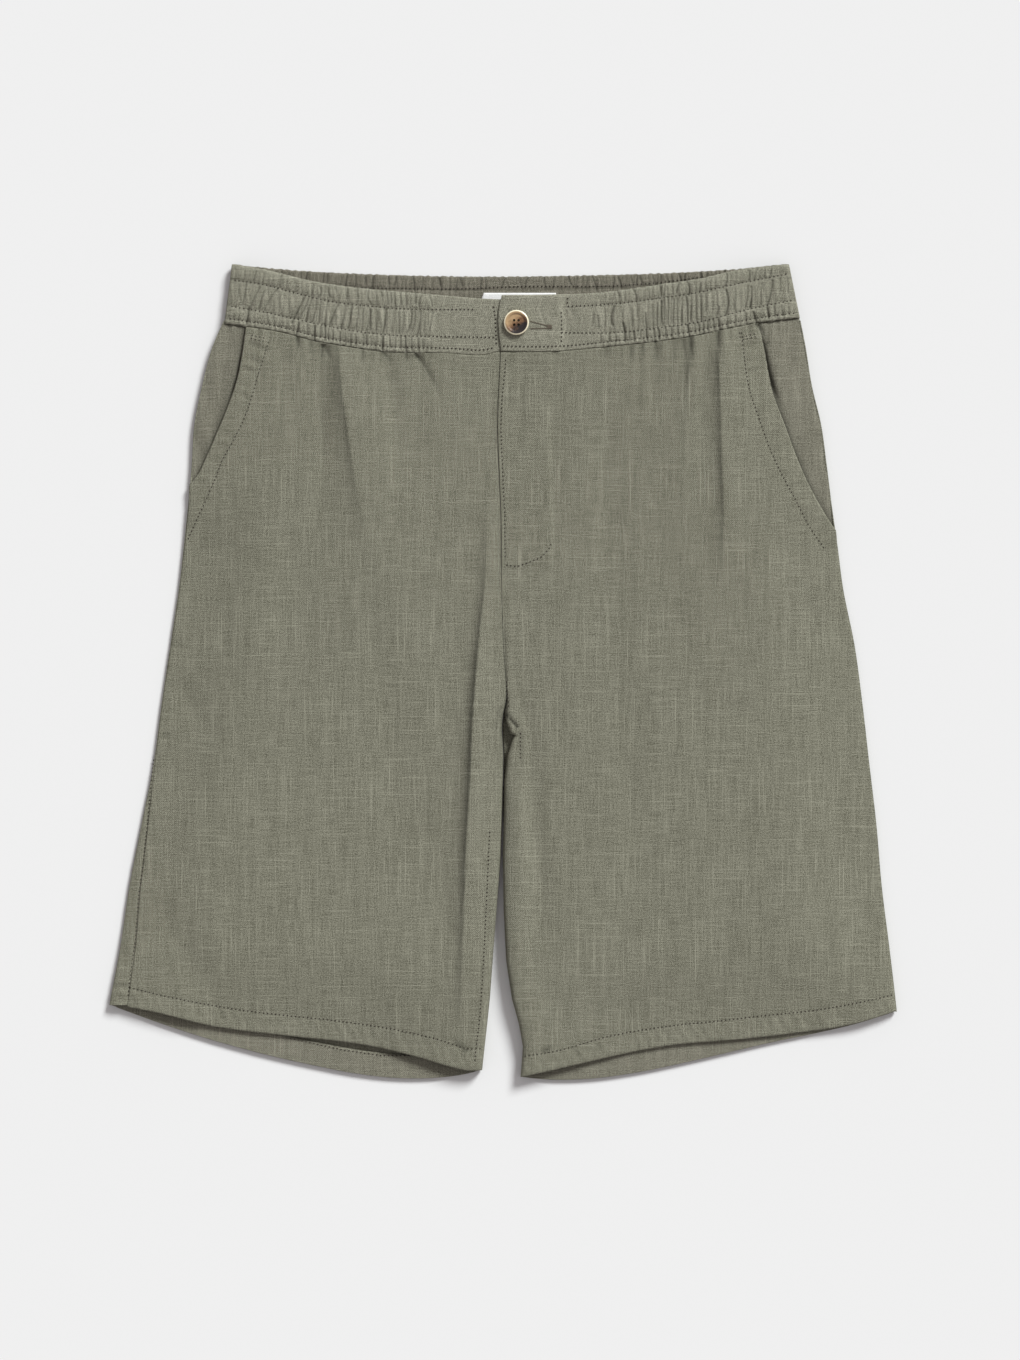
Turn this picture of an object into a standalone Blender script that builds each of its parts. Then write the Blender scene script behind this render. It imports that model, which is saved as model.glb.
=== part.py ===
"""Bermuda shorts of light linen weave, laid flat and face up on a table.

Two front panels lie over two back panels and meet them in side seams and inseams, so the body and each leg
is a flattened tube. A gathered elastic waistband closes with a buttoned flap, slant pockets show their
facings, and every leg ends in a turned-up hem.

Z is up from the table, Y runs from the hems (-Y) to the waist (+Y), and X across, from the wearer's right
(-X) to the wearer's left (+X). Tables and sizes are in millimetres and meshes in metres.
"""
import math

import bmesh
import bpy
import numpy as np

MM = 0.001

# Walls and clearances
CLOTH = 1.3  # one layer of cloth
TURN_UP = 1.0  # cloth turned up inside a hem
BAND = 2.6  # waistband: cloth on both sides of the elastic
BAND_FLAT = 1.3  # waistband where it has no elastic
GAP = 0.3  # between pieces that are sewn together or lie on each other
WAIST_GAP = 0.5  # the same along the curved waist seam
LAYER = CLOTH + GAP  # depth from one layer's face to the next one's
POCKET_SLACK = 0.4  # the pocket facing lies this much deeper

# Sizes
BAND_HEIGHT = 39.5
HEM_DEPTH = 15.5
POCKET_UNDERLAP = 24.0
FACING_RISE = 0.5  # the facing's lower edge above the pocket's end
FACING_INSET = 0.7  # from the tube's outer edge to the facing's first column
POCKET_BLEND = 14.0  # length over which the front's edge moves out to cover the facing
FLY_WIDTH = 36.0
FLY_END_LEVEL = 73.0
FLY_RISE = 0.7
FLY_EASE = 4.0  # the fly's rise fades over this much on both sides of its end
UNDERLAP_END = 34.0  # X that the buttoned underlap reaches below the flap, which starts at X -1
ELASTIC_END_RIGHT = -48.0  # X where the gathered stretch starts on the wearer's right
ELASTIC_END_LEFT = 44.0
GATHER_START = 5.0  # distance of the first gather from the band's end
LABEL_SIZE = (52.0, 22.0, 0.8)
LABEL_CENTRE = (11.5, 256.0)
BUTTON_CENTRE = (9.7, 243.6)
BUTTON_DIAMETER = 17.6
BUTTON_THICKNESS = 3.0
BUTTON_HOLE_DIAMETER = 1.9
BUTTON_HOLE_SPACING = 3.1
BUTTON_PROFILE = np.array([
    # distance in from the button's rim, distance down from its highest point
    (8.8, 1.1),
    (3.2, 1.0),
    (2.0, 0.15),
    (1.1, 0.0),
    (0.3, 0.4),
    (0.0, 1.3),
    (1.4, 2.6),
    (3.0, 3.0),
    (8.8, 3.0),
])

# Heights of the waistband above the table
BAND_CROWN = 11.2
BAND_INSIDE = 8.6
FLAP_TOP = 11.6
BAND_EDGE = 4.4  # height at which front and back band meet at the sides
BAND_ROLL = 40.0
BACK_BAND_ROLL = 9.0
BAND_END_RIGHT = (-189.5, -194.6)  # X of the waistband's end at its top edge and at the waist seam
BAND_END_LEFT = (200.6, 208.2)

# X of the outer edges, level by level up the garment
SIDES = np.array([
    # level, wearer's right, wearer's left
    (-290.0, -284.0, 281.0),
    (-238.0, -276.3, 276.3),
    (-192.0, -267.8, 271.0),
    (-150.0, -261.5, 265.8),
    (-108.0, -253.2, 262.2),
    (-65.0, -244.7, 257.2),
    (-23.0, -239.0, 252.4),
    (18.0, -232.9, 246.9),
    (60.0, -226.6, 238.5),
    (88.0, -223.4, 234.9),
    (117.0, -220.3, 230.7),
    (145.0, -217.8, 227.2),
    (173.0, -216.0, 223.3),
    (200.0, -210.5, 216.8),
    (228.0, -202.8, 212.2),
    (246.0, -195.0, 208.6),
])

# X of the inner edges: the inseams, and above the crotch the centre seam
INNER = np.array([
    # level, wearer's right leg, wearer's left leg
    (-290.0, -15.4, 12.2),
    (-263.0, -12.5, 14.3),
    (-247.0, -10.7, 12.2),
    (-229.0, -8.8, 8.1),
    (-203.0, -6.9, 4.5),
    (-167.0, -4.1, 2.7),
    (-131.0, -1.2, 1.0),
    (-95.0, 0.1, 1.0),
    (-77.0, 0.4, 1.2),
    (-59.0, 0.6, 3.2),
    (-39.0, -0.6, 10.2),
    (-29.0, 0.6, 5.0),
    (-19.0, 2.9, 3.2),
    (-8.0, 2.6, 2.6),
    (16.0, 0.7, 0.7),
    (45.0, -0.3, -0.3),
    (73.0, -0.8, -0.8),
    (108.0, -1.0, -1.0),
    (145.0, -2.6, -2.6),
    (170.0, -3.6, -3.6),
    (189.0, -3.1, -3.1),
    (226.0, -1.2, -1.2),
])

# How the laid tube is rounded, level by level
TUBE = np.array([
    # level, height of the front, height of the side seam, width of the front's rounded side
    (-290.0, 10.3, 1.9, 26.0),
    (-240.0, 10.1, 1.9, 26.0),
    (-100.0, 9.6, 1.7, 28.0),
    (100.0, 9.6, 1.7, 34.0),
    (180.0, 9.9, 2.2, 38.0),
    (246.0, 10.4, 4.0, 40.0),
])
INNER_ROLL = 14.0
BACK_ROLL = 6.0
CROTCH_LEVELS = (-32.0, -8.0)  # the inner edge is rounded below the first and open above the second

EDGE_WRAP = 0.3  # how far the back panel itself reaches round the tube's outer edge
TURNED_SIDE_TOP = -84.0  # level where the strip that is turned onto the front starts
TURNED_SIDE_SLACK = 0.35  # it ends this much short of the seam, clear of the front between their rows
TURNED_SIDE_ROWS = 14

# How far from the tube's outer edge the side seam lies, at the wearer's right and left
WRAP = np.array([
    # level, wearer's right, wearer's left
    (-290.0, 13.0, 0.3),
    (-230.0, 12.6, 0.3),
    (-189.0, 10.2, 0.3),
    (-137.0, 6.6, 0.3),
    (-107.0, 4.2, 0.3),
    (-80.0, 1.6, 0.3),
    (-55.0, 0.3, 0.3),
    (100.0, 0.3, 0.3),
    (130.0, 0.1, 0.1),
    (246.0, 0.1, 0.1),
])

# Slanted pocket edges: where the front panel ends on the facing
POCKET_RIGHT = np.array([
    # level, X
    (131.0, -218.6),
    (138.0, -213.6),
    (152.0, -206.9),
    (167.0, -200.2),
    (186.0, -192.2),
    (204.0, -185.9),
    (221.0, -182.4),
    (246.0, -179.2),
])
POCKET_LEFT = np.array([
    # level, X
    (100.0, 232.8),
    (106.0, 228.8),
    (119.0, 220.9),
    (135.0, 212.5),
    (153.0, 204.8),
    (172.0, 197.8),
    (190.0, 190.8),
    (208.0, 184.8),
    (225.0, 181.0),
    (248.0, 177.6),
])

# Edges that run across the garment
BACK_BAND_TOP = np.array([
    # X, level
    (-190.0, 285.3),
    (-143.0, 281.1),
    (-84.0, 278.3),
    (5.0, 276.9),
    (68.0, 278.0),
    (115.0, 279.4),
    (159.0, 281.8),
    (200.6, 285.3),
])
BAND_TOP_RIGHT = np.array([
    # X, level
    (-190.0, 285.3),
    (-166.0, 281.1),
    (-131.0, 272.7),
    (-96.0, 267.8),
    (-56.0, 264.3),
    (-14.0, 260.8),
    (40.0, 259.4),
])
BAND_TOP_LEFT = np.array([
    # X, level
    (-6.0, 263.0),
    (39.0, 263.6),
    (63.0, 264.6),
    (110.0, 270.6),
    (138.0, 274.8),
    (166.0, 281.2),
    (200.6, 285.3),
])
WAIST_SEAM_RIGHT = np.array([
    # X, level
    (-195.0, 243.6),
    (-179.0, 241.2),
    (-156.0, 237.3),
    (-131.0, 230.9),
    (-108.0, 226.8),
    (-84.0, 223.6),
    (-38.0, 222.4),
    (-10.0, 221.8),
    (-3.0, 223.6),
    (0.0, 224.1),
    (40.0, 224.1),
])
WAIST_SEAM_LEFT = np.array([
    # X, level
    (-6.0, 223.7),
    (39.0, 223.7),
    (68.0, 226.3),
    (103.0, 230.0),
    (133.0, 234.2),
    (156.0, 239.1),
    (178.0, 243.6),
    (208.0, 247.6),
])
HEM_FRONT_RIGHT = np.array([
    # X, level
    (-276.0, -232.8),
    (-244.0, -238.4),
    (-201.0, -248.9),
    (-151.0, -255.2),
    (-94.0, -262.2),
    (-57.0, -270.6),
    (-38.0, -276.2),
    (-26.0, -279.0),
    (-14.0, -279.0),
])
HEM_FRONT_LEFT = np.array([
    # X, level
    (12.0, -283.9),
    (35.0, -279.0),
    (63.0, -272.7),
    (92.0, -266.4),
    (121.0, -261.5),
    (155.0, -258.7),
    (201.0, -253.8),
    (249.0, -246.1),
    (276.0, -237.7),
])
HEM_BACK_RIGHT = np.array([
    # X, level
    (-276.0, -233.4),
    (-235.0, -248.2),
    (-207.0, -257.3),
    (-169.0, -267.8),
    (-132.0, -276.2),
    (-104.0, -281.6),
    (-75.0, -284.9),
    (-47.0, -284.8),
    (-28.0, -282.5),
    (-14.0, -279.4),
])
HEM_BACK_LEFT = np.array([
    # X, level
    (12.0, -284.2),
    (33.0, -286.0),
    (63.0, -285.3),
    (94.0, -281.1),
    (131.0, -273.4),
    (161.0, -266.4),
    (191.0, -259.4),
    (220.0, -253.4),
    (249.0, -246.6),
    (276.0, -238.2),
])

# Soft folds of the front: ridges stand up and troughs, with a height below 0, sink
FOLDS = np.array([
    # X and level of one end, X and level of the other, bow, height, width to the left and right
    (-4.0, 110.0, -19.0, -250.0, -1.5, 3.8, 6.5, 16.0),  # strip beside the crease left of centre
    (-11.6, 106.0, -29.8, -212.0, -1.3, -1.0, 5.0, 3.5),  # that crease
    (-45.0, -170.0, -48.0, -330.0, 0.0, 1.8, 24.0, 18.0),  # hem lifted at the inner corner
    (-115.0, 238.0, -92.0, 60.0, 2.0, -1.1, 6.0, 9.0),
    (-98.0, 120.0, -78.0, -80.0, 0.0, -0.6, 12.0, 14.0),
    (-128.0, 240.0, -124.0, 125.0, 0.0, -0.8, 7.0, 7.0),
    (-153.0, 240.0, -152.0, 185.0, 0.0, -0.6, 6.0, 6.0),
    (-74.0, 232.0, -73.0, 150.0, 0.0, -0.5, 7.0, 7.0),
    (-60.0, 230.0, -46.0, 198.0, 0.0, -0.6, 5.0, 5.0),
    (151.0, 245.0, 153.5, 45.0, 1.5, -1.2, 4.5, 5.0),
    (129.5, 242.0, 127.5, 140.0, 0.0, -0.9, 6.0, 6.0),
    (106.0, 240.0, 104.0, 175.0, 0.0, -0.6, 6.0, 6.0),
    (68.0, 238.0, 72.0, 190.0, 0.0, -0.5, 6.0, 6.0),
    (66.0, 170.0, 95.0, -150.0, -5.0, -0.7, 14.0, 14.0),
    (232.0, 58.0, 160.0, -12.0, 0.0, -0.9, 9.0, 9.0),
    (205.0, 44.0, 176.0, -16.0, 0.0, -0.7, 9.0, 9.0),
    (-236.0, 4.0, -190.0, -36.0, 0.0, -0.7, 9.0, 9.0),
    (-240.0, -168.0, -205.0, -232.0, 0.0, -0.8, 12.0, 12.0),
])

# Gathers across the height of the waistband, between its rows of stitching
BAND_ROWS = np.array([
    # share of the height from the top edge, how full the gathers stand there
    (0.0, 0.2),
    (0.13, 0.7),
    (0.26, 0.1),
    (0.49, 1.0),
    (0.72, 0.1),
    (0.86, 0.7),
    (1.0, 0.2),
])
GATHER_DEPTH = 1.2
GATHERS_RIGHT = 24
GATHERS_LEFT = 26
GATHERS_BACK = 56
GATHER_SHARES = (0.0, 0.3, 0.7)
GATHER_DRIFT = 0.2  # how far a crease strays from even spacing, as a share of one gather
GATHER_UNEVEN = 0.22  # how much lower the flattest gather stands than the fullest
BACK_GATHER_DEPTH = 0.72
BACK_BAND_ROWS = np.array([
    # share of the height from the top edge, how full the gathers stand there
    (0.0, 0.25),
    (0.1, 0.8),
    (0.24, 0.2),
    (0.6, 1.0),
    (1.0, 0.3),
])

# Columns of the front waistband where it has no gathers
BAND_EDGE_COLUMNS = np.array([0.0, 0.5, 2.0])  # distances from its end
BAND_PLAIN_RIGHT = np.array([-36.0, -20.0, -10.0, -6.0, -2.0, 16.0, 34.0])
BAND_PLAIN_LEFT = np.array([41.0, 38.0, 35.0, 24.0, 12.0, -1.0])
ELASTIC_EASE = 6.0  # width over which the band thickens where the elastic starts
LABEL_CLEAR = (8.0, 2.0)  # the back gathers fade out between these distances from the label

# Grid of the panels
PANEL_ROWS = 20
ROW_BUNCHING = 1.25  # above 1, the rows stand closer near the waist
POCKET_END_ROWS = (12.0, 6.0, 0.0)  # rows this far above the pocket's lower end
LEVEL_GUESSES = (220.0, -250.0)  # about where the waist seam and the hem are
LEVEL_ROUNDS = 4
EDGE_STEPS = 5
MIDDLE_STEPS = 18
BACK_MIDDLE_STEPS = 9
WRAP_STEPS = 3
FACING_COLUMNS = 11
FACING_ROWS = 7
FACING_FIRST_ANGLE = 0.12  # where the facing's bunched columns start on the quarter circle, radians
SHARP_ANGLE = 50.0
HOLE_SEGMENTS = 10
BUTTON_STEPS = 24

# Finishes: colour (linear), metallic, roughness
LINEN = ((0.205, 0.202, 0.155), 0.0, 0.9)
LINEN_BAND = ((0.225, 0.222, 0.172), 0.0, 0.9)
LINEN_INSIDE = ((0.19, 0.182, 0.14), 0.0, 0.92)
LABEL_WHITE = ((0.82, 0.82, 0.8), 0.0, 0.7)
HORN = ((0.21, 0.13, 0.07), 0.0, 0.3)

RIGHT = {
    "inward": 1.0, "column": 1, "pocket": POCKET_RIGHT, "seam": WAIST_SEAM_RIGHT,
    "hem_front": HEM_FRONT_RIGHT, "hem_back": HEM_BACK_RIGHT,
}
LEFT = {
    "inward": -1.0, "column": 2, "pocket": POCKET_LEFT, "seam": WAIST_SEAM_LEFT,
    "hem_front": HEM_FRONT_LEFT, "hem_back": HEM_BACK_LEFT,
}


def smooth(table, at, column=1):
    """Cubic Hermite curve through a table's rows, over its first column's values and level past its ends."""
    knots = table[:, 0]
    values = table[:, column]
    slopes = np.gradient(values, knots)
    at = np.clip(at, knots[0], knots[-1])
    i = np.clip(np.searchsorted(knots, at) - 1, 0, len(knots) - 2)
    step = knots[i + 1] - knots[i]
    t = (at - knots[i]) / step
    start = (2 * t**3 - 3 * t**2 + 1) * values[i] + (t**3 - 2 * t**2 + t) * step * slopes[i]
    return start + (3 * t**2 - 2 * t**3) * values[i + 1] + (t**3 - t**2) * step * slopes[i + 1]


def straight(table, at, column=1):
    """Straight runs between a table's rows, level past its ends."""
    return np.interp(at, table[:, 0], table[:, column])


def ease(at, low, high):
    """Smooth step: 0 at low, 1 at high, with level ends."""
    t = np.clip((at - low) / (high - low), 0.0, 1.0)
    return t * t * (3.0 - 2.0 * t)


def rounding(distance, width):
    """Quarter ellipse: 0 at an edge, 1 from the rounded side's width inwards."""
    left = 1.0 - np.clip(distance / width, 0.0, 1.0)
    return np.sqrt(1.0 - left**2)


def folds(x, y):
    """Sum of all folds: a bell across each fold's bowed line, fading out towards both of its ends."""
    total = np.zeros(np.shape(x))
    for x0, y0, x1, y1, bow, height, left_width, right_width in FOLDS:
        length = math.hypot(x1 - x0, y1 - y0)
        along = ((x - x0) * (x1 - x0) + (y - y0) * (y1 - y0)) / length**2
        across = ((x - x0) * (y1 - y0) - (y - y0) * (x1 - x0)) / -length
        across = across - bow * 4.0 * along * (1.0 - along)
        width = np.where(across < 0.0, left_width, right_width)
        fade = ease(along, 0.0, 0.2) * ease(along, 1.0, 0.65)
        total = total + height * fade * np.exp(-((across / width) ** 2))
    return total


def crown(x, y):
    """Height of the front's outer face away from its edges: level, folds, and the fly's extra cloth."""
    centre = straight(INNER, y, 2)
    far = centre + FLY_WIDTH
    fly = ease(x, centre - FLY_RISE, centre + FLY_RISE) * ease(x, far + FLY_EASE / 2, far - FLY_EASE / 2)
    fly = fly * ease(y, FLY_END_LEVEL - FLY_EASE, FLY_END_LEVEL + FLY_EASE)
    return smooth(TUBE, y, 1) + folds(x, y) + FLY_RISE * fly


def pocket_end(leg):
    """Level at which the slanted pocket edge meets the side."""
    return leg["pocket"][0, 0]


def side_edge(leg, y, depth=0.0):
    """X of the tube's outer edge. Beside a pocket it stands one layer further out, to cover the facing."""
    out = ease(y, pocket_end(leg) - POCKET_BLEND, pocket_end(leg)) * (LAYER + POCKET_SLACK)
    return smooth(SIDES, y, leg["column"]) - leg["inward"] * (out - depth)


def openness(y):
    """1 where the inner edge is a rounded inseam, 0 above the crotch, where it is the flat centre seam."""
    return ease(y, CROTCH_LEVELS[1], CROTCH_LEVELS[0])


def upper(leg, side, distance, y, depth):
    """Point of the tube's front, at a distance in from its outer edge and a depth below its outer face.

    Height and width of both rounded edges shrink by the depth, so faces of different depths nest.
    """
    roll = smooth(TUBE, y, 3)
    seam = smooth(TUBE, y, 2) + GAP / 2
    width = leg["inward"] * (straight(INNER, y, leg["column"]) - side)
    inner = width - distance
    closed = openness(y)
    x = side + leg["inward"] * distance
    z = crown(x, y) - depth - seam
    z = seam + z * rounding(distance, roll) * (1.0 - closed + closed * rounding(inner, INNER_ROLL))
    shift = depth * np.clip(1.0 - distance / roll, 0.0, 1.0)
    shift = shift - closed * depth * np.clip(1.0 - inner / INNER_ROLL, 0.0, 1.0)
    return np.stack([x + leg["inward"] * shift, y, z], axis=-1)


def lower(leg, side, distance, y, depth):
    """Point of the tube's back, at a distance in from its outer edge and a depth above its underside."""
    seam = smooth(TUBE, y, 2) - GAP / 2
    width = leg["inward"] * (straight(INNER, y, leg["column"]) - side)
    inner = width - distance
    closed = openness(y)
    flat = rounding(distance, BACK_ROLL) * (1.0 - closed + closed * rounding(inner, BACK_ROLL))
    z = seam - (seam - depth) * flat
    shift = depth * np.clip(1.0 - distance / BACK_ROLL, 0.0, 1.0)
    shift = shift - closed * depth * np.clip(1.0 - inner / BACK_ROLL, 0.0, 1.0)
    return np.stack([side + leg["inward"] * (distance + shift), y, z], axis=-1)


def angle_of(distance, width):
    """Angle round a quarter ellipse at which it has come this far in."""
    return np.arccos(np.clip(1.0 - distance / width, -1.0, 1.0))


def front_distances(leg, side, y):
    """Distances of the front's columns, bunched on both rounded edges, one set for the column's own level."""
    roll = smooth(TUBE, y, 3)
    pocket = leg["inward"] * (smooth(leg["pocket"], y) - side)
    start = np.where(y > pocket_end(leg), pocket, 0.0)
    start = np.maximum(start, straight(WRAP, y, leg["column"]) + GAP)
    width = leg["inward"] * (straight(INNER, y, leg["column"]) - side) - GAP / 2 * (1.0 - openness(y))
    share = np.arange(EDGE_STEPS) / EDGE_STEPS
    n = EDGE_STEPS
    outer_angle = angle_of(start[:, :n], roll[:, :n])
    outer_angle = outer_angle + (math.pi / 2 - outer_angle) * share
    outer = roll[:, :n] * (1.0 - np.cos(outer_angle))
    middle_share = np.linspace(0.0, 1.0, MIDDLE_STEPS + 1)
    near = roll[:, n:-n]
    middle = near + (width[:, n:-n] - INNER_ROLL - near) * middle_share
    inner_angle = math.pi / 2 * (1.0 - (share + 1.0 / EDGE_STEPS))
    inner = width[:, -n:] - INNER_ROLL * (1.0 - np.cos(inner_angle))
    return np.concatenate([outer, middle, inner], axis=1)


def back_distances(leg, side, y):
    """Distances of the back's columns from the outer to the inner edge, bunched where it is rounded."""
    width = leg["inward"] * (straight(INNER, y, leg["column"]) - side) - GAP / 2 * (1.0 - openness(y))
    angle = math.pi / 2 * np.arange(EDGE_STEPS) / EDGE_STEPS
    n = EDGE_STEPS
    outer = BACK_ROLL * (1.0 - np.cos(angle)) + 0.0 * y[:, :n]
    share = np.linspace(0.0, 1.0, BACK_MIDDLE_STEPS + 1)
    middle = BACK_ROLL + (width[:, n:-n] - 2.0 * BACK_ROLL) * share
    inner = width[:, -n:] - BACK_ROLL * (1.0 - np.cos(angle[::-1]))
    return np.concatenate([outer, middle, inner], axis=1)


def levels(leg, distances, top, hem, row_shares, columns, depth=0.0):
    """Levels of a panel's grid points: each column is divided between the top seam and the hem above it.

    The seams are tables over X, so a few rounds find the point where each column meets them.
    """
    ends = []
    for table, guess in zip((top, hem), LEVEL_GUESSES):
        y = np.full((1, columns), guess)
        for _ in range(LEVEL_ROUNDS):
            side = side_edge(leg, y, depth)
            x = side + leg["inward"] * distances(leg, side, y)
            y = smooth(table, x)
        ends.append(y)
    upper_end = ends[0] - WAIST_GAP / 2
    return upper_end + (ends[1] - upper_end) * row_shares[:, None]


def wall(name, outer, inner, finish, collection):
    """Closed wall between two grids of points: both faces, and a rim along the four edges."""
    rows, columns = outer.shape[:2]
    count = rows * columns
    points = np.concatenate([outer.reshape(-1, 3), inner.reshape(-1, 3)]) * MM
    index = np.arange(count).reshape(rows, columns)
    quads = np.stack([index[:-1, :-1], index[:-1, 1:], index[1:, 1:], index[1:, :-1]], axis=-1).reshape(-1, 4)
    loop = np.concatenate([index[0, :-1], index[:-1, -1], index[-1, :0:-1], index[:0:-1, 0]])
    following = np.roll(loop, -1)
    rim = np.stack([following, loop, loop + count, following + count], axis=-1)
    faces = np.concatenate([quads, quads[:, ::-1] + count, rim])
    mesh = bpy.data.meshes.new(name)
    mesh.from_pydata(points.tolist(), [], faces.tolist())
    return finished(name, mesh, finish, collection)


def finished(name, mesh, finish, collection):
    """Object of a mesh with its faces turned outwards, shaded smooth and given its finish."""
    shape = bmesh.new()
    shape.from_mesh(mesh)
    bmesh.ops.recalc_face_normals(shape, faces=shape.faces)
    shape.to_mesh(mesh)
    shape.free()
    mesh.shade_smooth()
    mesh.set_sharp_from_angle(angle=math.radians(SHARP_ANGLE))
    piece = bpy.data.objects.new(name, mesh)
    collection.objects.link(piece)
    paint(piece, finish)
    return piece


def paint(piece, finish):
    """Give a piece its own material."""
    colour, metallic, roughness = finish
    material = bpy.data.materials.new(piece.name + "_finish")
    material.use_nodes = True
    surface = material.node_tree.nodes["Principled BSDF"]
    surface.inputs["Base Color"].default_value = (*colour, 1.0)
    surface.inputs["Metallic"].default_value = metallic
    surface.inputs["Roughness"].default_value = roughness
    piece.data.materials.clear()
    piece.data.materials.append(material)


def panel_row_shares(leg):
    """Row shares from the waist seam, 0, to the hem, 1: bunched near the waist, with rows where the hem's
    turn-up ends and on both sides of the pocket's lower end.
    """
    shares = np.linspace(0.0, 1.0, PANEL_ROWS) ** ROW_BUNCHING
    top = leg["pocket"][-1, 0]
    length = top - leg["hem_front"][:, 1].mean()
    shares[-2] = 1.0 - HEM_DEPTH / length
    pocket = (top - pocket_end(leg) - np.array(POCKET_END_ROWS)) / length
    return np.sort(np.append(shares, pocket))


def front_panel(name, leg, collection):
    """Front of one leg and half the body, and the cloth turned up inside its hem."""
    columns = 2 * EDGE_STEPS + MIDDLE_STEPS + 1
    y = levels(leg, front_distances, leg["seam"], leg["hem_front"], panel_row_shares(leg), columns)
    side = side_edge(leg, y)
    distance = front_distances(leg, side, y)
    wall("front_" + name, upper(leg, side, distance, y, 0.0), upper(leg, side, distance, y, CLOTH),
         LINEN, collection)
    hem = (slice(-2, None), slice(2, -2))
    strip = (side[hem], distance[hem], y[hem])
    wall("hem_front_" + name, upper(leg, *strip, LAYER), upper(leg, *strip, LAYER + TURN_UP),
         LINEN_INSIDE, collection)


def back_panel(name, leg, collection):
    """Back of one leg and half the body, flat on the table and rounded up at its edges."""
    columns = 2 * EDGE_STEPS + BACK_MIDDLE_STEPS + 1
    top = BACK_BAND_TOP - (0.0, BAND_HEIGHT)
    y = levels(leg, back_distances, top, leg["hem_back"], panel_row_shares(leg), columns)
    side = smooth(SIDES, y, leg["column"])
    distance = back_distances(leg, side, y)
    edge_y = y[:, :1] + np.zeros((1, WRAP_STEPS))
    edge_side = side[:, :1]
    roll = smooth(TUBE, edge_y, 3)
    last = angle_of(np.minimum(straight(WRAP, edge_y, leg["column"]), EDGE_WRAP), roll)
    angle = last * (1.0 - np.arange(WRAP_STEPS) / WRAP_STEPS)
    wrap = roll * (1.0 - np.cos(angle))
    faces = []
    for depth in (0.0, CLOTH):
        over = upper(leg, edge_side, wrap, edge_y, depth)
        under = lower(leg, side, distance, y, depth)
        faces.append(np.concatenate([over, under], axis=1))
    wall("back_" + name, faces[0], faces[1], LINEN_INSIDE, collection)
    hem = (slice(-2, None), slice(2, -2))
    strip = (side[hem], distance[hem], y[hem])
    wall("hem_back_" + name, lower(leg, *strip, LAYER), lower(leg, *strip, LAYER + TURN_UP),
         LINEN_INSIDE, collection)


def turned_side(name, leg, collection):
    """Strip of the back that is turned onto the front of the leg, as far as the side seam."""
    def distances(leg, side, y):
        width = straight(WRAP, y, leg["column"]) - TURNED_SIDE_SLACK
        share = np.linspace(0.0, 1.0, WRAP_STEPS + 1)
        return EDGE_WRAP + GAP + (width - EDGE_WRAP - GAP) * share

    top = np.array([(-300.0, TURNED_SIDE_TOP), (300.0, TURNED_SIDE_TOP)])
    y = levels(leg, distances, top, leg["hem_back"], np.linspace(0.0, 1.0, TURNED_SIDE_ROWS), WRAP_STEPS + 1)
    side = side_edge(leg, y)
    distance = distances(leg, side, y)
    wall("back_side_" + name, upper(leg, side, distance, y, 0.0), upper(leg, side, distance, y, CLOTH),
         LINEN_INSIDE, collection)


def pocket_facing(name, leg, collection):
    """Facing in the slanted pocket: from the side seam to a little way under the front panel."""
    low = pocket_end(leg) + FACING_RISE
    bunched = 1.0 - np.cos(np.linspace(FACING_FIRST_ANGLE, math.pi / 2, FACING_COLUMNS))

    def distances(leg, side, y):
        pocket = leg["inward"] * (smooth(leg["pocket"], y) - side)
        return FACING_INSET + (pocket + POCKET_UNDERLAP) * (bunched - bunched[0])

    top = leg["seam"]
    bottom = np.array([(-300.0, low), (300.0, low)])
    y = levels(leg, distances, top, bottom, np.linspace(0.0, 1.0, FACING_ROWS), FACING_COLUMNS)
    side = side_edge(leg, y)
    distance = distances(leg, side, y)
    depth = LAYER + POCKET_SLACK
    wall("pocket_facing_" + name, upper(leg, side, distance, y, depth),
         upper(leg, side, distance, y, depth + CLOTH), LINEN_INSIDE, collection)


def gathers(start, stop, count):
    """Columns of a gathered stretch: uneven pillows, each a parabola between two creases."""
    k = np.arange(count + 1)
    share = (k + GATHER_DRIFT * np.sin(2.3 * k) * np.sin(math.pi * k / count)) / count
    crease = start + (stop - start) * share
    fullness = 1.0 - GATHER_UNEVEN + GATHER_UNEVEN * np.sin(1.7 * k[:-1] + 0.6)
    inside = np.array(GATHER_SHARES)
    x = crease[:-1, None] + (crease[1:] - crease[:-1])[:, None] * inside
    rise = fullness[:, None] * (1.0 - (2.0 * inside - 1.0) ** 2)
    return np.append(x.ravel(), stop), np.append(rise.ravel(), 0.0)


def band_point(x, share, top, seam):
    """Level of a waistband point, its share of the way from the top edge down to the waist seam."""
    high = smooth(top, x)
    return high + (smooth(seam, x) + WAIST_GAP / 2 - high) * share


def band_end(share, top, bottom):
    """X of the waistband's end at a share of its height."""
    return top + (bottom - top) * share


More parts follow.
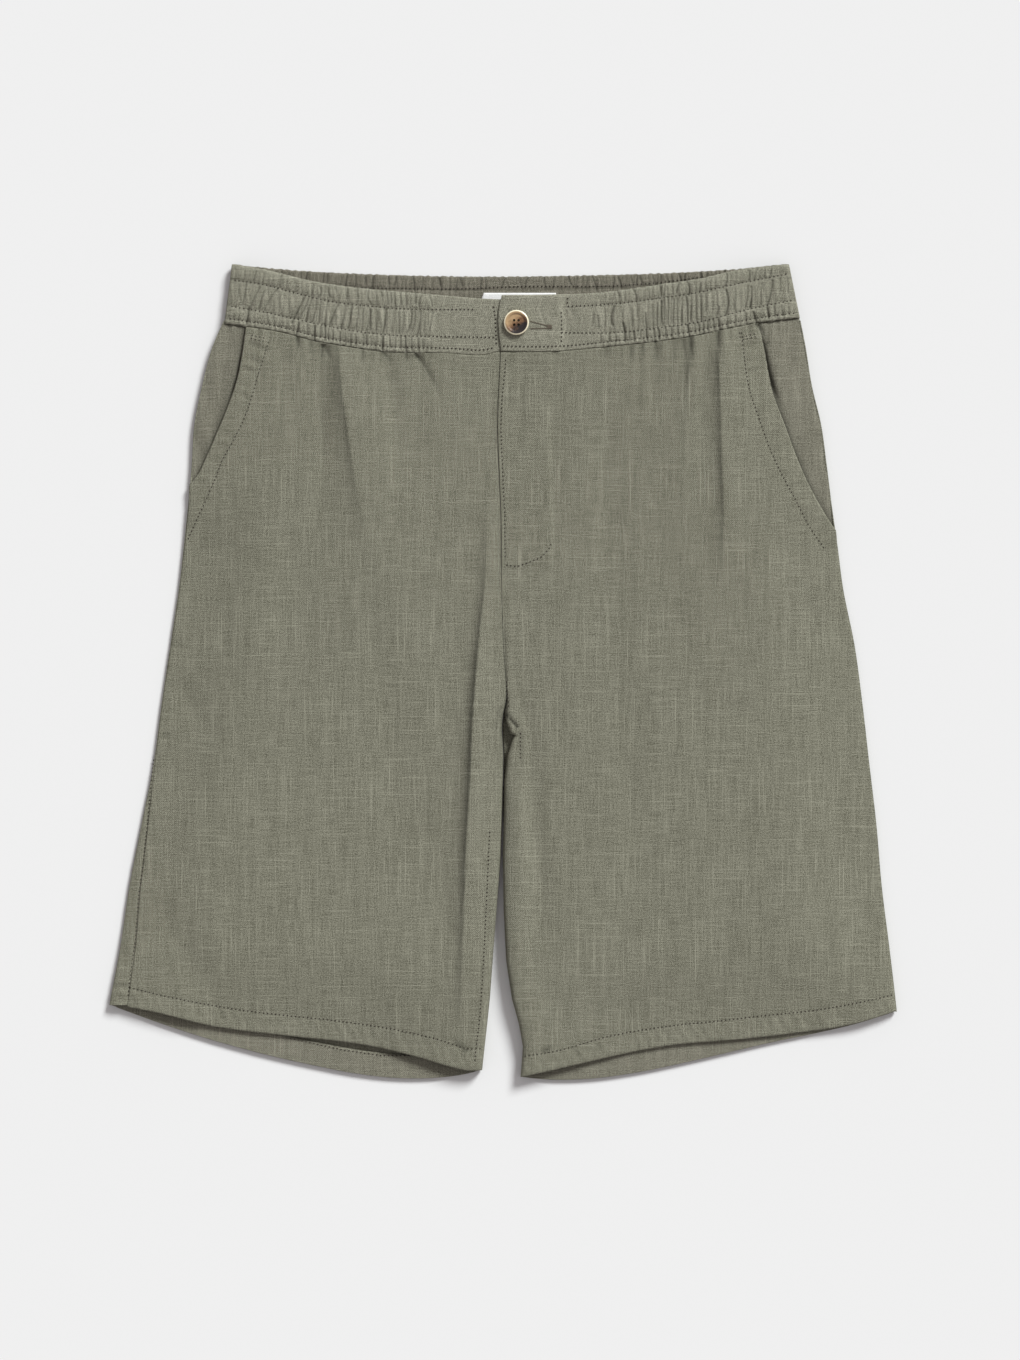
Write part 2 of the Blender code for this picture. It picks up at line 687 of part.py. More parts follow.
def front_band(name, leg, x, rise, outer_z, inner_z, top, ends, collection):
    """Half of the front waistband, its end rounded down to meet the back band.

    x and rise are its columns, from the end to the centre; the heights are given for the same columns.
    """
    share = BAND_ROWS[:, 0:1]
    swell = BAND_ROWS[:, 1:2]
    inward = leg["inward"]
    end = band_end(share, *ends)
    distance = inward * (x - x[0]) + 0.0 * share
    faces = []
    for depth, height in ((0.0, outer_z), (BAND, inner_z)):
        seam = BAND_EDGE + GAP / 2
        shift = depth * np.clip(1.0 - distance / BAND_ROLL, 0.0, 1.0)
        settle = (x[-1] - end) / (x[-1] - x[0])
        place = x[-1] - (x[-1] - x) * settle + inward * shift
        z = seam + (height - seam) * rounding(distance, BAND_ROLL)
        if depth == 0.0:
            z = z + GATHER_DEPTH * rise * swell * rounding(distance, BAND_ROLL)
        y = band_point(place, share, top, leg["seam"])
        faces.append(np.stack([place, y, z], axis=-1))
    wall("waistband_front_" + name, faces[0], faces[1], LINEN_BAND, collection)


def waistband_fronts(collection):
    """Both halves of the front waistband: gathered to the sides, plain beside the button, and lapped."""
    edge = BAND_EDGE_COLUMNS
    right_end = BAND_END_RIGHT[0]
    left_end = BAND_END_LEFT[0]
    x, rise = gathers(right_end + GATHER_START, ELASTIC_END_RIGHT, GATHERS_RIGHT)
    plain = BAND_PLAIN_RIGHT
    x = np.concatenate([right_end + edge, x, plain])
    rise = np.concatenate([0.0 * edge, rise, 0.0 * plain])
    elastic = ease(x, ELASTIC_END_RIGHT + ELASTIC_EASE, ELASTIC_END_RIGHT)
    outer = BAND_INSIDE + BAND_FLAT + (BAND_CROWN - BAND_INSIDE - BAND_FLAT - GATHER_DEPTH) * elastic
    front_band("right", RIGHT, x, rise, outer, np.full(len(x), BAND_INSIDE), BAND_TOP_RIGHT,
               BAND_END_RIGHT, collection)

    x, rise = gathers(left_end - GATHER_START, ELASTIC_END_LEFT, GATHERS_LEFT)
    plain = BAND_PLAIN_LEFT
    x = np.concatenate([left_end - edge, x, plain])
    rise = np.concatenate([0.0 * edge, rise, 0.0 * plain])
    elastic = ease(x, ELASTIC_END_LEFT - ELASTIC_EASE, ELASTIC_END_LEFT)
    outer = FLAP_TOP + (BAND_CROWN - GATHER_DEPTH - FLAP_TOP) * elastic
    inner = BAND_INSIDE + LAYER * ease(x, ELASTIC_END_LEFT, UNDERLAP_END + 1.0)
    front_band("left", LEFT, x, rise, outer, inner, BAND_TOP_LEFT, BAND_END_LEFT, collection)


def waistband_back(collection):
    """Back waistband, gathered all along its inner face and flat below, with its ends rounded up."""
    right_end = BAND_END_RIGHT[0]
    left_end = BAND_END_LEFT[0]
    edge = BACK_BAND_ROLL * (1.0 - np.cos(np.linspace(0.0, math.pi / 2, EDGE_STEPS)))
    x, rise = gathers(right_end + BACK_BAND_ROLL, left_end - BACK_BAND_ROLL, GATHERS_BACK)
    x = np.concatenate([right_end + edge[:-1], x, left_end - edge[-2::-1]])
    rise = np.concatenate([0.0 * edge[:-1], rise, 0.0 * edge[:-1]])
    beside = np.abs(x - LABEL_CENTRE[0]) - LABEL_SIZE[0] / 2
    rise = rise * (1.0 - ease(beside, *LABEL_CLEAR))
    share = BACK_BAND_ROWS[:, 0:1]
    swell = BACK_BAND_ROWS[:, 1:2]
    seam = BAND_EDGE - GAP / 2
    across = (x - right_end) / (left_end - right_end)
    low_end = band_end(share, *BAND_END_RIGHT)
    high_end = band_end(share, *BAND_END_LEFT)
    distance = np.minimum(x - right_end, left_end - x)
    toward = np.sign(0.5 - across)
    faces = []
    for depth in (0.0, BAND):
        shift = depth * np.clip(1.0 - distance / BACK_BAND_ROLL, 0.0, 1.0)
        place = low_end + (high_end - low_end) * across + toward * shift
        flat = rounding(distance, BACK_BAND_ROLL)
        z = seam - (seam - depth) * flat + 0.0 * share
        if depth > 0.0:
            z = z + BACK_GATHER_DEPTH * (rise * swell - 0.5) * flat
        y = smooth(BACK_BAND_TOP, place) - (BAND_HEIGHT - WAIST_GAP / 2) * share
        faces.append(np.stack([place, y, z], axis=-1))
    wall("waistband_back", faces[0], faces[1], LINEN_BAND, collection)


def label(collection):
    """Blank woven label on the inner face of the back waistband."""
    width, height, thickness = LABEL_SIZE
    shape = bmesh.new()
    bmesh.ops.create_cube(shape, size=MM)
    bmesh.ops.scale(shape, vec=LABEL_SIZE, verts=shape.verts)
    base = BAND - BACK_GATHER_DEPTH / 2 + GAP
    place = (LABEL_CENTRE[0] * MM, LABEL_CENTRE[1] * MM, (base + thickness / 2) * MM)
    bmesh.ops.translate(shape, vec=place, verts=shape.verts)
    mesh = bpy.data.meshes.new("label")
    shape.to_mesh(mesh)
    shape.free()
    finished("label", mesh, LABEL_WHITE, collection)


def button(collection, cutters):
    """Four-hole horn button on the flap: a turned disc with a raised rim and a dished middle."""
    radius = BUTTON_DIAMETER / 2
    base = FLAP_TOP + GAP
    high = base + BUTTON_THICKNESS
    mesh = bpy.data.meshes.new("button")
    points = [((radius - inset) * MM, 0.0, (high - drop) * MM) for inset, drop in BUTTON_PROFILE]
    mesh.from_pydata(points, [(i, i + 1) for i in range(len(points) - 1)], [])
    piece = bpy.data.objects.new("button", mesh)
    piece.location = (BUTTON_CENTRE[0] * MM, BUTTON_CENTRE[1] * MM, 0.0)
    collection.objects.link(piece)
    paint(piece, HORN)
    turn = piece.modifiers.new("turn", "SCREW")
    turn.steps = BUTTON_STEPS
    turn.render_steps = BUTTON_STEPS
    turn.use_merge_vertices = True
    turn.merge_threshold = 0.00001
    turn.use_smooth_shade = True
    for i in range(4):
        angle = math.radians(45.0 + 90.0 * i)
        reach = BUTTON_HOLE_SPACING / math.sqrt(2.0)
        shape = bmesh.new()
        hole = BUTTON_HOLE_DIAMETER / 2 * MM
        bmesh.ops.create_cone(shape, cap_ends=True, segments=HOLE_SEGMENTS, radius1=hole, radius2=hole,
                              depth=3 * BUTTON_THICKNESS * MM)
        cutter_mesh = bpy.data.meshes.new(f"button_hole_{i + 1}")
        shape.to_mesh(cutter_mesh)
        shape.free()
        cutter = bpy.data.objects.new(cutter_mesh.name, cutter_mesh)
        cutter.location = (
            (BUTTON_CENTRE[0] + reach * math.cos(angle)) * MM,
            (BUTTON_CENTRE[1] + reach * math.sin(angle)) * MM,
            (base + BUTTON_THICKNESS / 2) * MM,
        )
        cutter.hide_render = True
        cutter.display_type = "WIRE"
        cutters.objects.link(cutter)
        cut = piece.modifiers.new(f"hole_{i + 1}", "BOOLEAN")
        cut.operation = "DIFFERENCE"
        cut.object = cutter


def new_collection(name):
    """Collection linked to the scene."""
    collection = bpy.data.collections.new(name)
    bpy.context.scene.collection.children.link(collection)
    return collection


def build():
    """Clear the scene and make every piece of the shorts."""
    for old in list(bpy.data.objects):
        bpy.data.objects.remove(old, do_unlink=True)
    shorts = new_collection("bermuda_shorts")
    cutters = new_collection("cutters")
    for name, leg in (("right", RIGHT), ("left", LEFT)):
        front_panel(name, leg, shorts)
        back_panel(name, leg, shorts)
        pocket_facing(name, leg, shorts)
    turned_side("right", RIGHT, shorts)
    waistband_fronts(shorts)
    waistband_back(shorts)
    label(shorts)
    button(shorts, cutters)


build()
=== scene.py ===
"""Looks of the bermuda shorts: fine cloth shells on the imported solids, their sewing, finishes and light.

Every cloth piece is a thin closed shell over a grid of points. It repeats the solid's form, with the tables
and formulas of the part in millimetres, and adds creases, gathers, puckers and rolled edges to it.
Z is up from the table, Y runs from the hems to the waist, and X from the wearer's right to the left.
"""
import math

import bpy
import numpy as np
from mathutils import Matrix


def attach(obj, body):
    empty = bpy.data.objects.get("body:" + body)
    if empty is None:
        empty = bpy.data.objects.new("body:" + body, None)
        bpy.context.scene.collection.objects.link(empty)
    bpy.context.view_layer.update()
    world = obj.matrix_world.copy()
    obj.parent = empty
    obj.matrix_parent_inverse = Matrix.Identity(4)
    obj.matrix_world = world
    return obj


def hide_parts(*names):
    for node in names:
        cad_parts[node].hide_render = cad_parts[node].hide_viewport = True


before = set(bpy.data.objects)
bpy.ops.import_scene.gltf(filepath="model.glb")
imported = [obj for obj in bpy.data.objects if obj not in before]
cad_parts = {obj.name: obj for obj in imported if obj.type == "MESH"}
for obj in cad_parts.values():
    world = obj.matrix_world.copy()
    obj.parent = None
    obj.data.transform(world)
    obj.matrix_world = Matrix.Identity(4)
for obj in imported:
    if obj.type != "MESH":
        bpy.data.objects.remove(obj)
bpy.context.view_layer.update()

# All sizes are in millimetres, except where the comments say metres
MM = 0.001

# Light, and in metres the floor and the camera
KEY_STRENGTH = 3.85
KEY_HEIGHT = 34.0  # degrees above the table
KEY_SIDE = 54.0  # degrees round from the wearer's left towards the waist
KEY_SPREAD = 20.0  # degrees: the wider, the softer the shadows
KEY_COLOUR = (0.975, 1.0, 0.995)
FILL_STRENGTH = 0.4
FILL_COLOUR = (1.045, 1.0, 1.01)
FLOOR_HALF = 4.0  # half the floor's side
FLOOR_LEVEL = -0.0003
VIEW_CENTRE = (0.00525, -0.00595)
VIEW_HEIGHT = 0.952  # what the longer side of the view spans
VIEW_DISTANCE = 2.6
VIEW_LEVEL = 0.006  # level on which that span holds
SENSOR = 36.0  # millimetres

# Walls and clearances
CLOTH = 1.3  # one layer of cloth
TURN_UP = 1.0  # cloth turned up inside a hem
BAND = 2.6  # waistband: cloth on both sides of the elastic
BAND_FLAT = 1.3  # waistband where it has no elastic
GAP = 0.3  # between pieces that are sewn together or lie on each other
WAIST_GAP = 0.5  # the same along the curved waist seam
SEAM_GAP = 0.05  # half the gap between the finished cloth pieces there
LAYER = CLOTH + GAP  # depth from one layer's face to the next one's
POCKET_SLACK = 0.4  # the pocket facing lies this much deeper

# Sizes
BAND_HEIGHT = 39.5
POCKET_UNDERLAP = 24.0  # how far a facing reaches under the front
FACING_RISE = 0.5  # how far above the pocket's lower end it ends
FACING_INSET = 0.7  # how far in from the side it starts
POCKET_BLEND = 14.0  # length over which the side steps out beside the pocket
FLY_WIDTH = 36.0
FLY_END_LEVEL = 73.0
FLY_RISE = 0.7
FLY_BLENDS = (0.7, 2.0, 4.0)  # half the widths over which it rises: at the seam, the outer edge and the end
FLAP_START = -1.0  # X of the flap's edge
UNDERLAP_END = 34.0  # X of the underlap's end
ELASTIC_END_RIGHT = -48.0  # X where the elastic ends beside the plain middle
ELASTIC_END_LEFT = 44.0
PLAIN_RIGHT = (ELASTIC_END_RIGHT - 4.0, ELASTIC_END_RIGHT + 4.0)  # X from fully gathered to plain
PLAIN_LEFT = (ELASTIC_END_LEFT + 38.0, ELASTIC_END_LEFT + 2.0)
LABEL_SIZE = (52.0, 22.0, 0.8)
LABEL_CENTRE = (11.5, 256.0)
LABEL_DROP = 1.7  # how far its top lies below the solid's
LABEL_CORNER = 1.3  # how far its upper left corner is turned in
LABEL_CORNER_LEVEL = 261.5  # level from which on it turns
BUTTON_CENTRE = (9.7, 243.6)
BUTTON_DIAMETER = 17.6
BUTTON_RIM = 1.15  # width of its ivory rim

# Sewing
STITCH_RADIUS = 0.55  # along the elastic
FINE_STITCH_RADIUS = 0.4  # on the panels
STITCH_PITCH = 2.8
STITCH_LENGTH = 1.0
STITCH_LIFT = 0.15  # height of a thread's middle over the cloth
BUTTONHOLE_RADIUS = 0.24
BUTTONHOLE = (19.6, 32.0, 0.75)  # X of both ends, and the step from one turn of thread to the next
BUTTONHOLE_EDGES = ((241.3, 3.4), (239.8, -0.3))  # level of each edge, and how much higher its inner end lies
BUTTONHOLE_REACH = 0.55  # half the length of a turn of its thread
BARTACK = (31.2, 34.4, 0.5)  # the same three as the buttonhole's
BARTACK_LEVELS = (242.4, 239.0)

# Heights of the waistband above the table, and widths of its rounded ends
BAND_LEVEL = 246.0  # level in Y that stands for the whole band in the tables
BAND_CROWN = 11.2
BAND_INSIDE = 8.6
FLAP_TOP = 11.6
BAND_EDGE = 4.4  # where the front and back bands meet at the sides
BAND_ROLL = 40.0
BACK_BAND_ROLL = 9.0
GATHER_DEPTH = 1.2  # how far the gathered face's middle lies below the solid's

# Edges that roll over: width, depth
HEM_ROLL = (1.7, 0.95)
POCKET_ROLL = (1.2, 0.6)
SEAM_ROLL = (1.0, 0.25)
BAND_TOP_ROLL = (1.8, 1.0)
BAND_SEAM_ROLL = (0.9, 0.5)
FLAP_ROLL = (1.4, 0.55)
BACK_BAND_TOP_ROLL = (1.6, 1.0)
LABEL_ROLL = (0.5, 0.25)
POCKET_ROLL_START = 6.0  # length above the pocket's lower end over which its edge comes to roll
FRONT_FOLLOW = (0.6, 0.8)  # depth up to which the inner face follows a roll, and by what share
BAND_FOLLOW = (0.45, 0.5)
BAND_FOLLOW_START = 6.0  # distance from the band's end over which it comes to follow

# Steps of the grids: columns on each rounded edge and between them, then length and steps between rows
FRONT_EDGE = 16
FRONT_MIDDLE = 180
FRONT_STEPS = (478.0, 1.25, 2.75, 1.5)  # near the waist, beyond it and near the hem
WAIST_ROWS = (1.6, 52.0)  # lengths from the waist between which a panel's rows are closer
CROTCH_ROWS = (244.0, 276.0)
CROTCH_CLOSER = 2.2  # how many times closer they are there
HEM_ROWS = (30.0, 1.6)  # the same lengths above the hem
WAIST_EDGE_ROWS = (0.0, 0.4, 0.9)  # rows on the edge that rolls over, and the same at the hem
HEM_EDGE_ROWS = (1.2, 0.7, 0.3, 0.0)
BACK_EDGE = 6
BACK_MIDDLE = 60
BACK_WRAP = 14  # columns of the strip that comes round onto the front
BACK_STEPS = (520.0, 6.0, 6.0, 1.5)
TURN_UP_STRIP = (slice(-14, None), slice(2, -2))  # rows and columns of a panel that its turned-up hem follows
FACING_GRID = (70, 90)
BAND_STEPS = 54
BAND_TOP_ROWS = (0.0, 0.008, 0.02)  # shares of the band's height at its rows, close together at both edges
BAND_MIDDLE_ROWS = (0.035, 0.965)
BAND_SEAM_ROWS = (0.98, 0.992, 1.0)
BACK_BAND_ROWS = ((0.035, 0.6, 23), (0.65, 1.0, 4))  # the same on the back band: where it shows, and below
BAND_SIDE_COLUMNS = (0.0, 0.0002, 0.0006, 0.0012, 0.002)  # shares of its length at its columns
BAND_MIDDLE_COLUMNS = (0.0035, 0.996)
BAND_END_COLUMNS = (0.9985, 0.9994, 1.0)
BAND_COLUMNS_RIGHT = 440
BAND_COLUMNS_LEFT = 410
BACK_BAND_COLUMNS = 760
BACK_BAND_EDGE = 9  # columns on each rounded end
SIDE_START = 0.85  # share of the side's step beside a pocket that the front leaves free
WAIST_GUESS = 220.0  # first guesses for the levels of a panel's ends, and rounds that correct them
HEM_GUESS = -250.0
LEVEL_ROUNDS = 6

# Irregular waves: height, shares of X and Y that they follow, seed, wavelength
GATHERS = (0.45, 1.0, 0.15, 0.7, 7.0)
GATHERS_LENGTH = 12.0  # length below the waist seam over which they fade
SOFT_GATHERS = (0.3, 1.0, 0.2, 3.3, 17.0)
SOFT_GATHERS_LENGTH = 42.0
SOFT_GATHERS_LEAST = 0.2  # share of them that stays below the plain middle
SWELLS = ((0.22, 0.8, 0.5, 2.1, 58.0), (0.1, 0.3, 1.0, 5.2, 36.0), (0.05, 1.0, 1.0, 4.4, 14.0))
FACING_WAVES = (0.45, 0.6, 0.6, 4.7, 11.0)
BAND_GATHERS = ((0.34, 1.0, 0.5, 1.4, 6.1), (0.28, 1.0, 0.4, 2.9, 3.4))
WELT_GATHERS = (0.35, 1.0, 0.0, 3.7, 4.4)  # along the band's lowest row of stitching
BAND_TOP_WAVES = (0.25, 1.0, 0.0, 1.4, 6.1)  # of the level of its top edge
BAND_SEAM_WAVES = (0.5, 1.0, 0.0, 3.7, 6.6)  # of the level of its lower edge
BACK_GATHERS = ((0.3, 1.0, 6.0, 0.4, 5.2), (0.16, 1.0, 9.0, 2.2, 3.1))
BACK_TOP_WAVES = (0.35, 1.0, 0.0, 0.4, 5.2)
LABEL_WAVES = (0.12, 1.0, 1.0, 0.9, 19.0)

# Rows of stitching on the fronts: width of the groove, reach of the puckers, their height, seed, wavelength
POCKET_ROW = (1.0, 6.0, 0.6, 2.6, 9.5)
HEM_ROW = (1.2, 9.0, 0.3, 1.9, 8.0)
SIDE_ROW = (1.0, 6.0, 0.45, 0.8, 8.0)
POCKET_ROW_START = (-3.0, 2.0)  # levels from its lowest point between which it sets in
POCKET_ROW_WAY = (0.33, 0.95)  # its direction in X and Y
HEM_ROW_LEAN = 0.6  # how much the hem's puckers lean
GROOVE_DEPTH = 0.2
PUCKER_PLACE = 6.0  # how far to one side of a row its puckers lie
ROW_WIDTH = 0.8  # half the width of the shade painted along a row, where it sinks in
ROW_SHADE = 0.06  # how dark that painted shade is
SIDE_SEAM_TOP = (-52.0, -80.0)  # levels between which the side seam's row sets in

# Creases and folds
FOLD_SHADE_REACH = (0.5, 0.35)  # reach of the shade painted beside a long fold: a length, and a share of its left width
FOLD_SHADE_START = (0.9, -0.3)  # distances from its line between which that painted shade sets in
POINT_ROUNDING = 0.02  # rounds the bottom of a pointed crease
POINT_LIFT = 0.14  # brings it back to its full depth
HOLLOW_FADES = (0.3, 0.4)  # shares of the length over which they set in and die away
CREASE_FADES = (0.02, 0.75)
BAND_CREASE_FADES = (0.08, 0.08)
BACK_CREASE_FADES = (0.04, 0.25)
BAND_CREASE_WIDTH = 0.5
BAND_CREASE_DEPTH = 1.15
# darkness of the shade painted into the waistband's creases
BAND_CREASE_SHADE = 0.42
BACK_CREASES = 94  # on the back band's inner face, from an X on in even steps
BACK_CREASE_START = -188.0
BACK_CREASE_PITCH = 4.2
# darkness of the shade painted into the back band's creases
BACK_CREASE_SHADE = 0.7
SLOT_PLACE = 1.0  # how far beside the pocket's edge the facing's slot is deepest
SLOT_FADES = (22.0, -8.0)  # how far up from its lower end and down from its upper end it sets in
# darkness of the shade painted in the slot where the pocket gapes
SLOT_SHADE = 0.8
FACING_SHADE = 0.85  # shade painted on the facing right beside the pocket's edge
FACING_SHADE_WIDTH = 2.6
FACING_FOLD_SHADE = 0.8  # share of the front's painted shade that it repeats

# Finishes
WEAVE = 1.4  # two yarns side by side
SLUB_LIMIT = 0.6  # value of the noise above which a yarn thickens into a slub
PAINTED_SHADE_TONE = 0.22  # share of the dark yarns' colour that the painted shade keeps in the hollow of a fold
THREAD_TWIST = 14000.0  # radians per metre
HORN_TAN = (0.43, 0.29, 0.155, 1.0)
HORN_BROWN = (0.18, 0.092, 0.043, 1.0)
HORN_BLACK = (0.022, 0.016, 0.016, 1.0)
IVORY = (0.95, 0.88, 0.68, 1.0)
IVORY_GRAIN = (0.82, 0.72, 0.5, 1.0)


def numbers(*rows):
    """Array of rows of numbers."""
    return np.array(rows, dtype=float)


# X of the outer edges: level, wearer's right, wearer's left
SIDES = numbers(
    (-290, -284, 281), (-238, -276.3, 276.3), (-192, -267.8, 271), (-150, -261.5, 265.8),
    (-108, -253.2, 262.2), (-65, -244.7, 257.2), (-23, -239, 252.4), (18, -232.9, 246.9), (60, -226.6, 238.5),
    (88, -223.4, 234.9), (117, -220.3, 230.7), (145, -217.8, 227.2), (173, -216, 223.3), (200, -210.5, 216.8),
    (228, -202.8, 212.2), (246, -195, 208.6),
)
# X of the inner edges, the inseams and above the crotch the centre seam: level, wearer's right leg, left leg
INNER = numbers(
    (-290, -15.4, 12.2), (-263, -12.5, 14.3), (-247, -10.7, 11.5), (-229, -8.8, 6.5), (-203, -6.9, 2.6),
    (-167, -4.1, 0.8), (-131, -1.2, 0.2), (-95, 0.1, 1), (-77, 0.4, 1.2), (-59, 0.6, 3.2), (-48, 0, 6.6),
    (-44.6, -0.3, 8.6), (-43.6, -0.4, 5.4), (-36, -0.3, 2.8), (-29, 0.6, 1.2), (-19, 2.9, 3.2),
    (-8, 2.6, 2.6), (16, 0.7, 0.7), (45, -0.3, -0.3), (73, -0.8, -0.8), (108, -1, -1), (145, -2.6, -2.6),
    (170, -3.6, -3.6), (189, -3.1, -3.1), (226, -1.2, -1.2),
)
# How the laid tube is rounded: level, height of the front, height of the side seam, width of the rounded side
TUBE = numbers(
    (-290, 10.3, 1.9, 26), (-240, 10.1, 1.9, 26), (-100, 9.6, 1.7, 28), (100, 9.6, 1.7, 34),
    (180, 9.9, 2.2, 38), (246, 10.4, 4, 40),
)
ROLL_SHARE = 0.8  # share of the solid's rounded side over which the cloth turns down
INNER_ROLL = 9.0  # width of the front's rounded inseam
BACK_ROLL = 6.0  # width of the back's rounded edges
EDGE_POWER = 5.0  # how crisply the cloth turns down at the sides: 2 would be an ellipse
BUNCHING = 1.5  # how closely the columns crowd towards a rounded edge
# Level, how much thinner the tube is at its outer edge
THIN = numbers(
    (-290, 2.8), (-240, 3.2), (-170, 6), (85, 6), (112, 4.2), (140, 3.9), (180, 3.4), (246, 2.3),
)
THIN_WIDTH = 68.0
# Level, how much higher the wearer's left leg stands beside its inseam
INSEAM_LIFT = numbers(
    (-290, 0), (-235, 1.5), (-190, 2.6), (-90, 2.6), (-40, 0),
)
INSEAM_WIDTH = 28.0
INSEAM_SHADE = 0.07  # shade painted beside the inseam, for each mm of lift
INSEAM_SHADE_WIDTH = (14.0, 5.0)  # distances between which it grows
CROTCH_GAP = 0.4  # between the backs of the legs at the crotch
CROTCH_LEVELS = (-32.0, -8.0)  # levels between which the inseams become the flat centre seam
CROTCH_REACH = (-110.0, -95.0)  # levels between which the wearer's left back begins to reach across
# How far the back panel comes round onto the front: level, wearer's right, wearer's left
WRAP = numbers(
    (-290, 13, 0.3), (-230, 12.6, 0.3), (-189, 10.2, 0.3), (-137, 6.6, 0.3), (-107, 4.2, 0.3),
    (-80, 1.6, 0.3), (-55, 0.3, 0.3), (100, 0.3, 0.3), (130, 0.1, 0.1), (246, 0.1, 0.1),
)
# Level of the back waistband's top edge by X
BACK_BAND_TOP = numbers(
    (-190, 285.3), (-143, 281.1), (-84, 278.3), (5, 276.9), (68, 278), (115, 279.4), (159, 281.8),
    (200.6, 285.3),
)
# X of the side seam's topstitching on the wearer's right leg by level
SIDE_SEAM_STITCH = numbers(
    (-227.8, -262.1), (-208.9, -260.1), (-188.6, -257.2), (-157.8, -255.1), (-137.5, -252), (-106.8, -248.8),
    (-61.2, -244.6),
)
SAG_LENGTH = 70.0  # length above the hem over which the front hangs through

# Long folds of the front: level, X, height, width to the left, width to the right, shade painted in the fold.
# A step rises to a crisp edge on its left side, a soft one is rounded both ways.
LONG_FOLDS = {
    "step_waist_right": numbers(
        (-50, -72, 0, 28, 32, 0), (0, -78, 0.8, 28, 32, 0), (40, -84, 1.5, 26, 32, 0),
        (86, -92, 2.2, 22, 32, 0), (116, -99.8, 2.7, 17, 30, 0.1), (149, -105.4, 3.3, 12, 28, 0.25),
        (177, -109.6, 3.6, 11, 24, 0.4), (198, -112.3, 3.4, 12, 20, 0.4), (215, -114.2, 2.4, 9, 16, 0.45),
        (226, -115, 1.4, 4.5, 12, 0.4),
    ),
    "step_centre": numbers(
        (-262, -30, 0, 6, 12, 0), (-225, -29.5, 0.9, 6, 12, 0.2), (-189, -28.4, 2, 6, 13, 0.45),
        (-137, -26.3, 3.5, 6, 13, 0.7), (-83, -23.5, 4.2, 5.5, 13, 0.8), (-25, -20.7, 4, 5, 12, 0.8),
        (26, -16.5, 3.1, 5, 11, 0.7), (67, -12.3, 1.6, 4.5, 9, 0.4), (108, -11.6, 0.7, 4, 7, 0.1),
        (128, -10.8, 0, 4, 6, 0),
    ),
    "step_waist_left": numbers(
        (35, 152.5, 0, 10.2, 12, 0), (60, 153, 0.41, 10.2, 12, 0), (91, 153.8, 1.22, 6.8, 14, 0.3),
        (121, 154.2, 2.03, 5.95, 16, 0.45), (150, 153, 2.43, 6.8, 16, 0.52), (186, 151.9, 2.7, 8.5, 16, 0.45),
        (215, 151, 2.7, 8.5, 16, 0.6), (238, 150.6, 1.35, 4.25, 14, 0.45),
    ),
    "step_beside_left": numbers(
        (90, 125, 0, 13.6, 10, 0), (120, 125.5, 0.7, 13.6, 10, 0), (160, 126.5, 1.26, 11.9, 10, 0),
        (198, 129.5, 1.54, 8.5, 10, 0.15), (215, 130.6, 2.1, 5.95, 9, 0.45),
        (238, 129.6, 1.68, 4.25, 8, 0.52),
    ),
    "soft_beside_right": numbers(
        (100, -123, 0, 8, 8, 0), (150, -125, -0.9, 8, 8, 0), (200, -127, -1.2, 7, 7, 0),
        (236, -129, -0.75, 6, 6, 0),
    ),
    "soft_thigh_right": numbers(
        (-130, -72, 0, 12, 16, 0), (-60, -78, -1.05, 12, 16, 0), (0, -84, -1.2, 12, 16, 0),
        (60, -90, -0.75, 12, 16, 0), (130, -98, 0, 12, 16, 0),
    ),
    "soft_front_right": numbers(
        (125, -71, 0, 7, 6, 0), (160, -73, -0.75, 7, 5, 0), (190, -75, -0.9, 6, 5, 0),
        (215, -76, -0.45, 6, 6, 0),
    ),
    "soft_front_left": numbers(
        (-180, 99, 0, 12, 12, 0), (-110, 92, -0.75, 12, 12, 0), (-40, 84, -0.9, 12, 12, 0),
        (40, 80, -0.75, 14, 14, 0), (110, 75, -1.05, 10, 10, 0), (165, 73, -0.75, 9, 9, 0),
        (200, 72, 0, 9, 9, 0),
    ),
    "soft_inseam_left": numbers(
        (-200, 30, 0, 6, 10, 0), (-155, 26, -1.35, 6, 10, 0), (-120, 22, -1.8, 5, 9, 0),
        (-83, 20, -1.8, 5, 9, 0), (-39, 18, -1.2, 4, 7, 0), (-5, 11, 0, 4, 7, 0),
    ),
}

# Short soft hollows of the front: X and level of both ends, height, width
HOLLOWS = [(x0, y0, x1, y1, 0.0, height, width, width, 0.0) for x0, y0, x1, y1, height, width in numbers(
    (-153, 240, -152, 185, -0.6, 6), (-84, 225, -80, 195, -0.7, 4), (106, 240, 104, 175, -0.6, 6),
    (92, 232, 84, 185, -0.5, 5), (68, 238, 72, 200, -0.4, 6), (232, 58, 160, -12, -0.9, 9),
    (205, 44, 176, -16, -0.7, 9), (-236, 4, -196, -60, -0.8, 9), (-244, -150, -205, -236, -0.9, 10),
    (150, -30, 182, -26, -0.6, 8), (-60, 40, -52, -120, 0.5, 16), (-170, 150, -176, -60, 0.5, 18),
    (120, 20, 140, -160, 0.5, 18),
)]
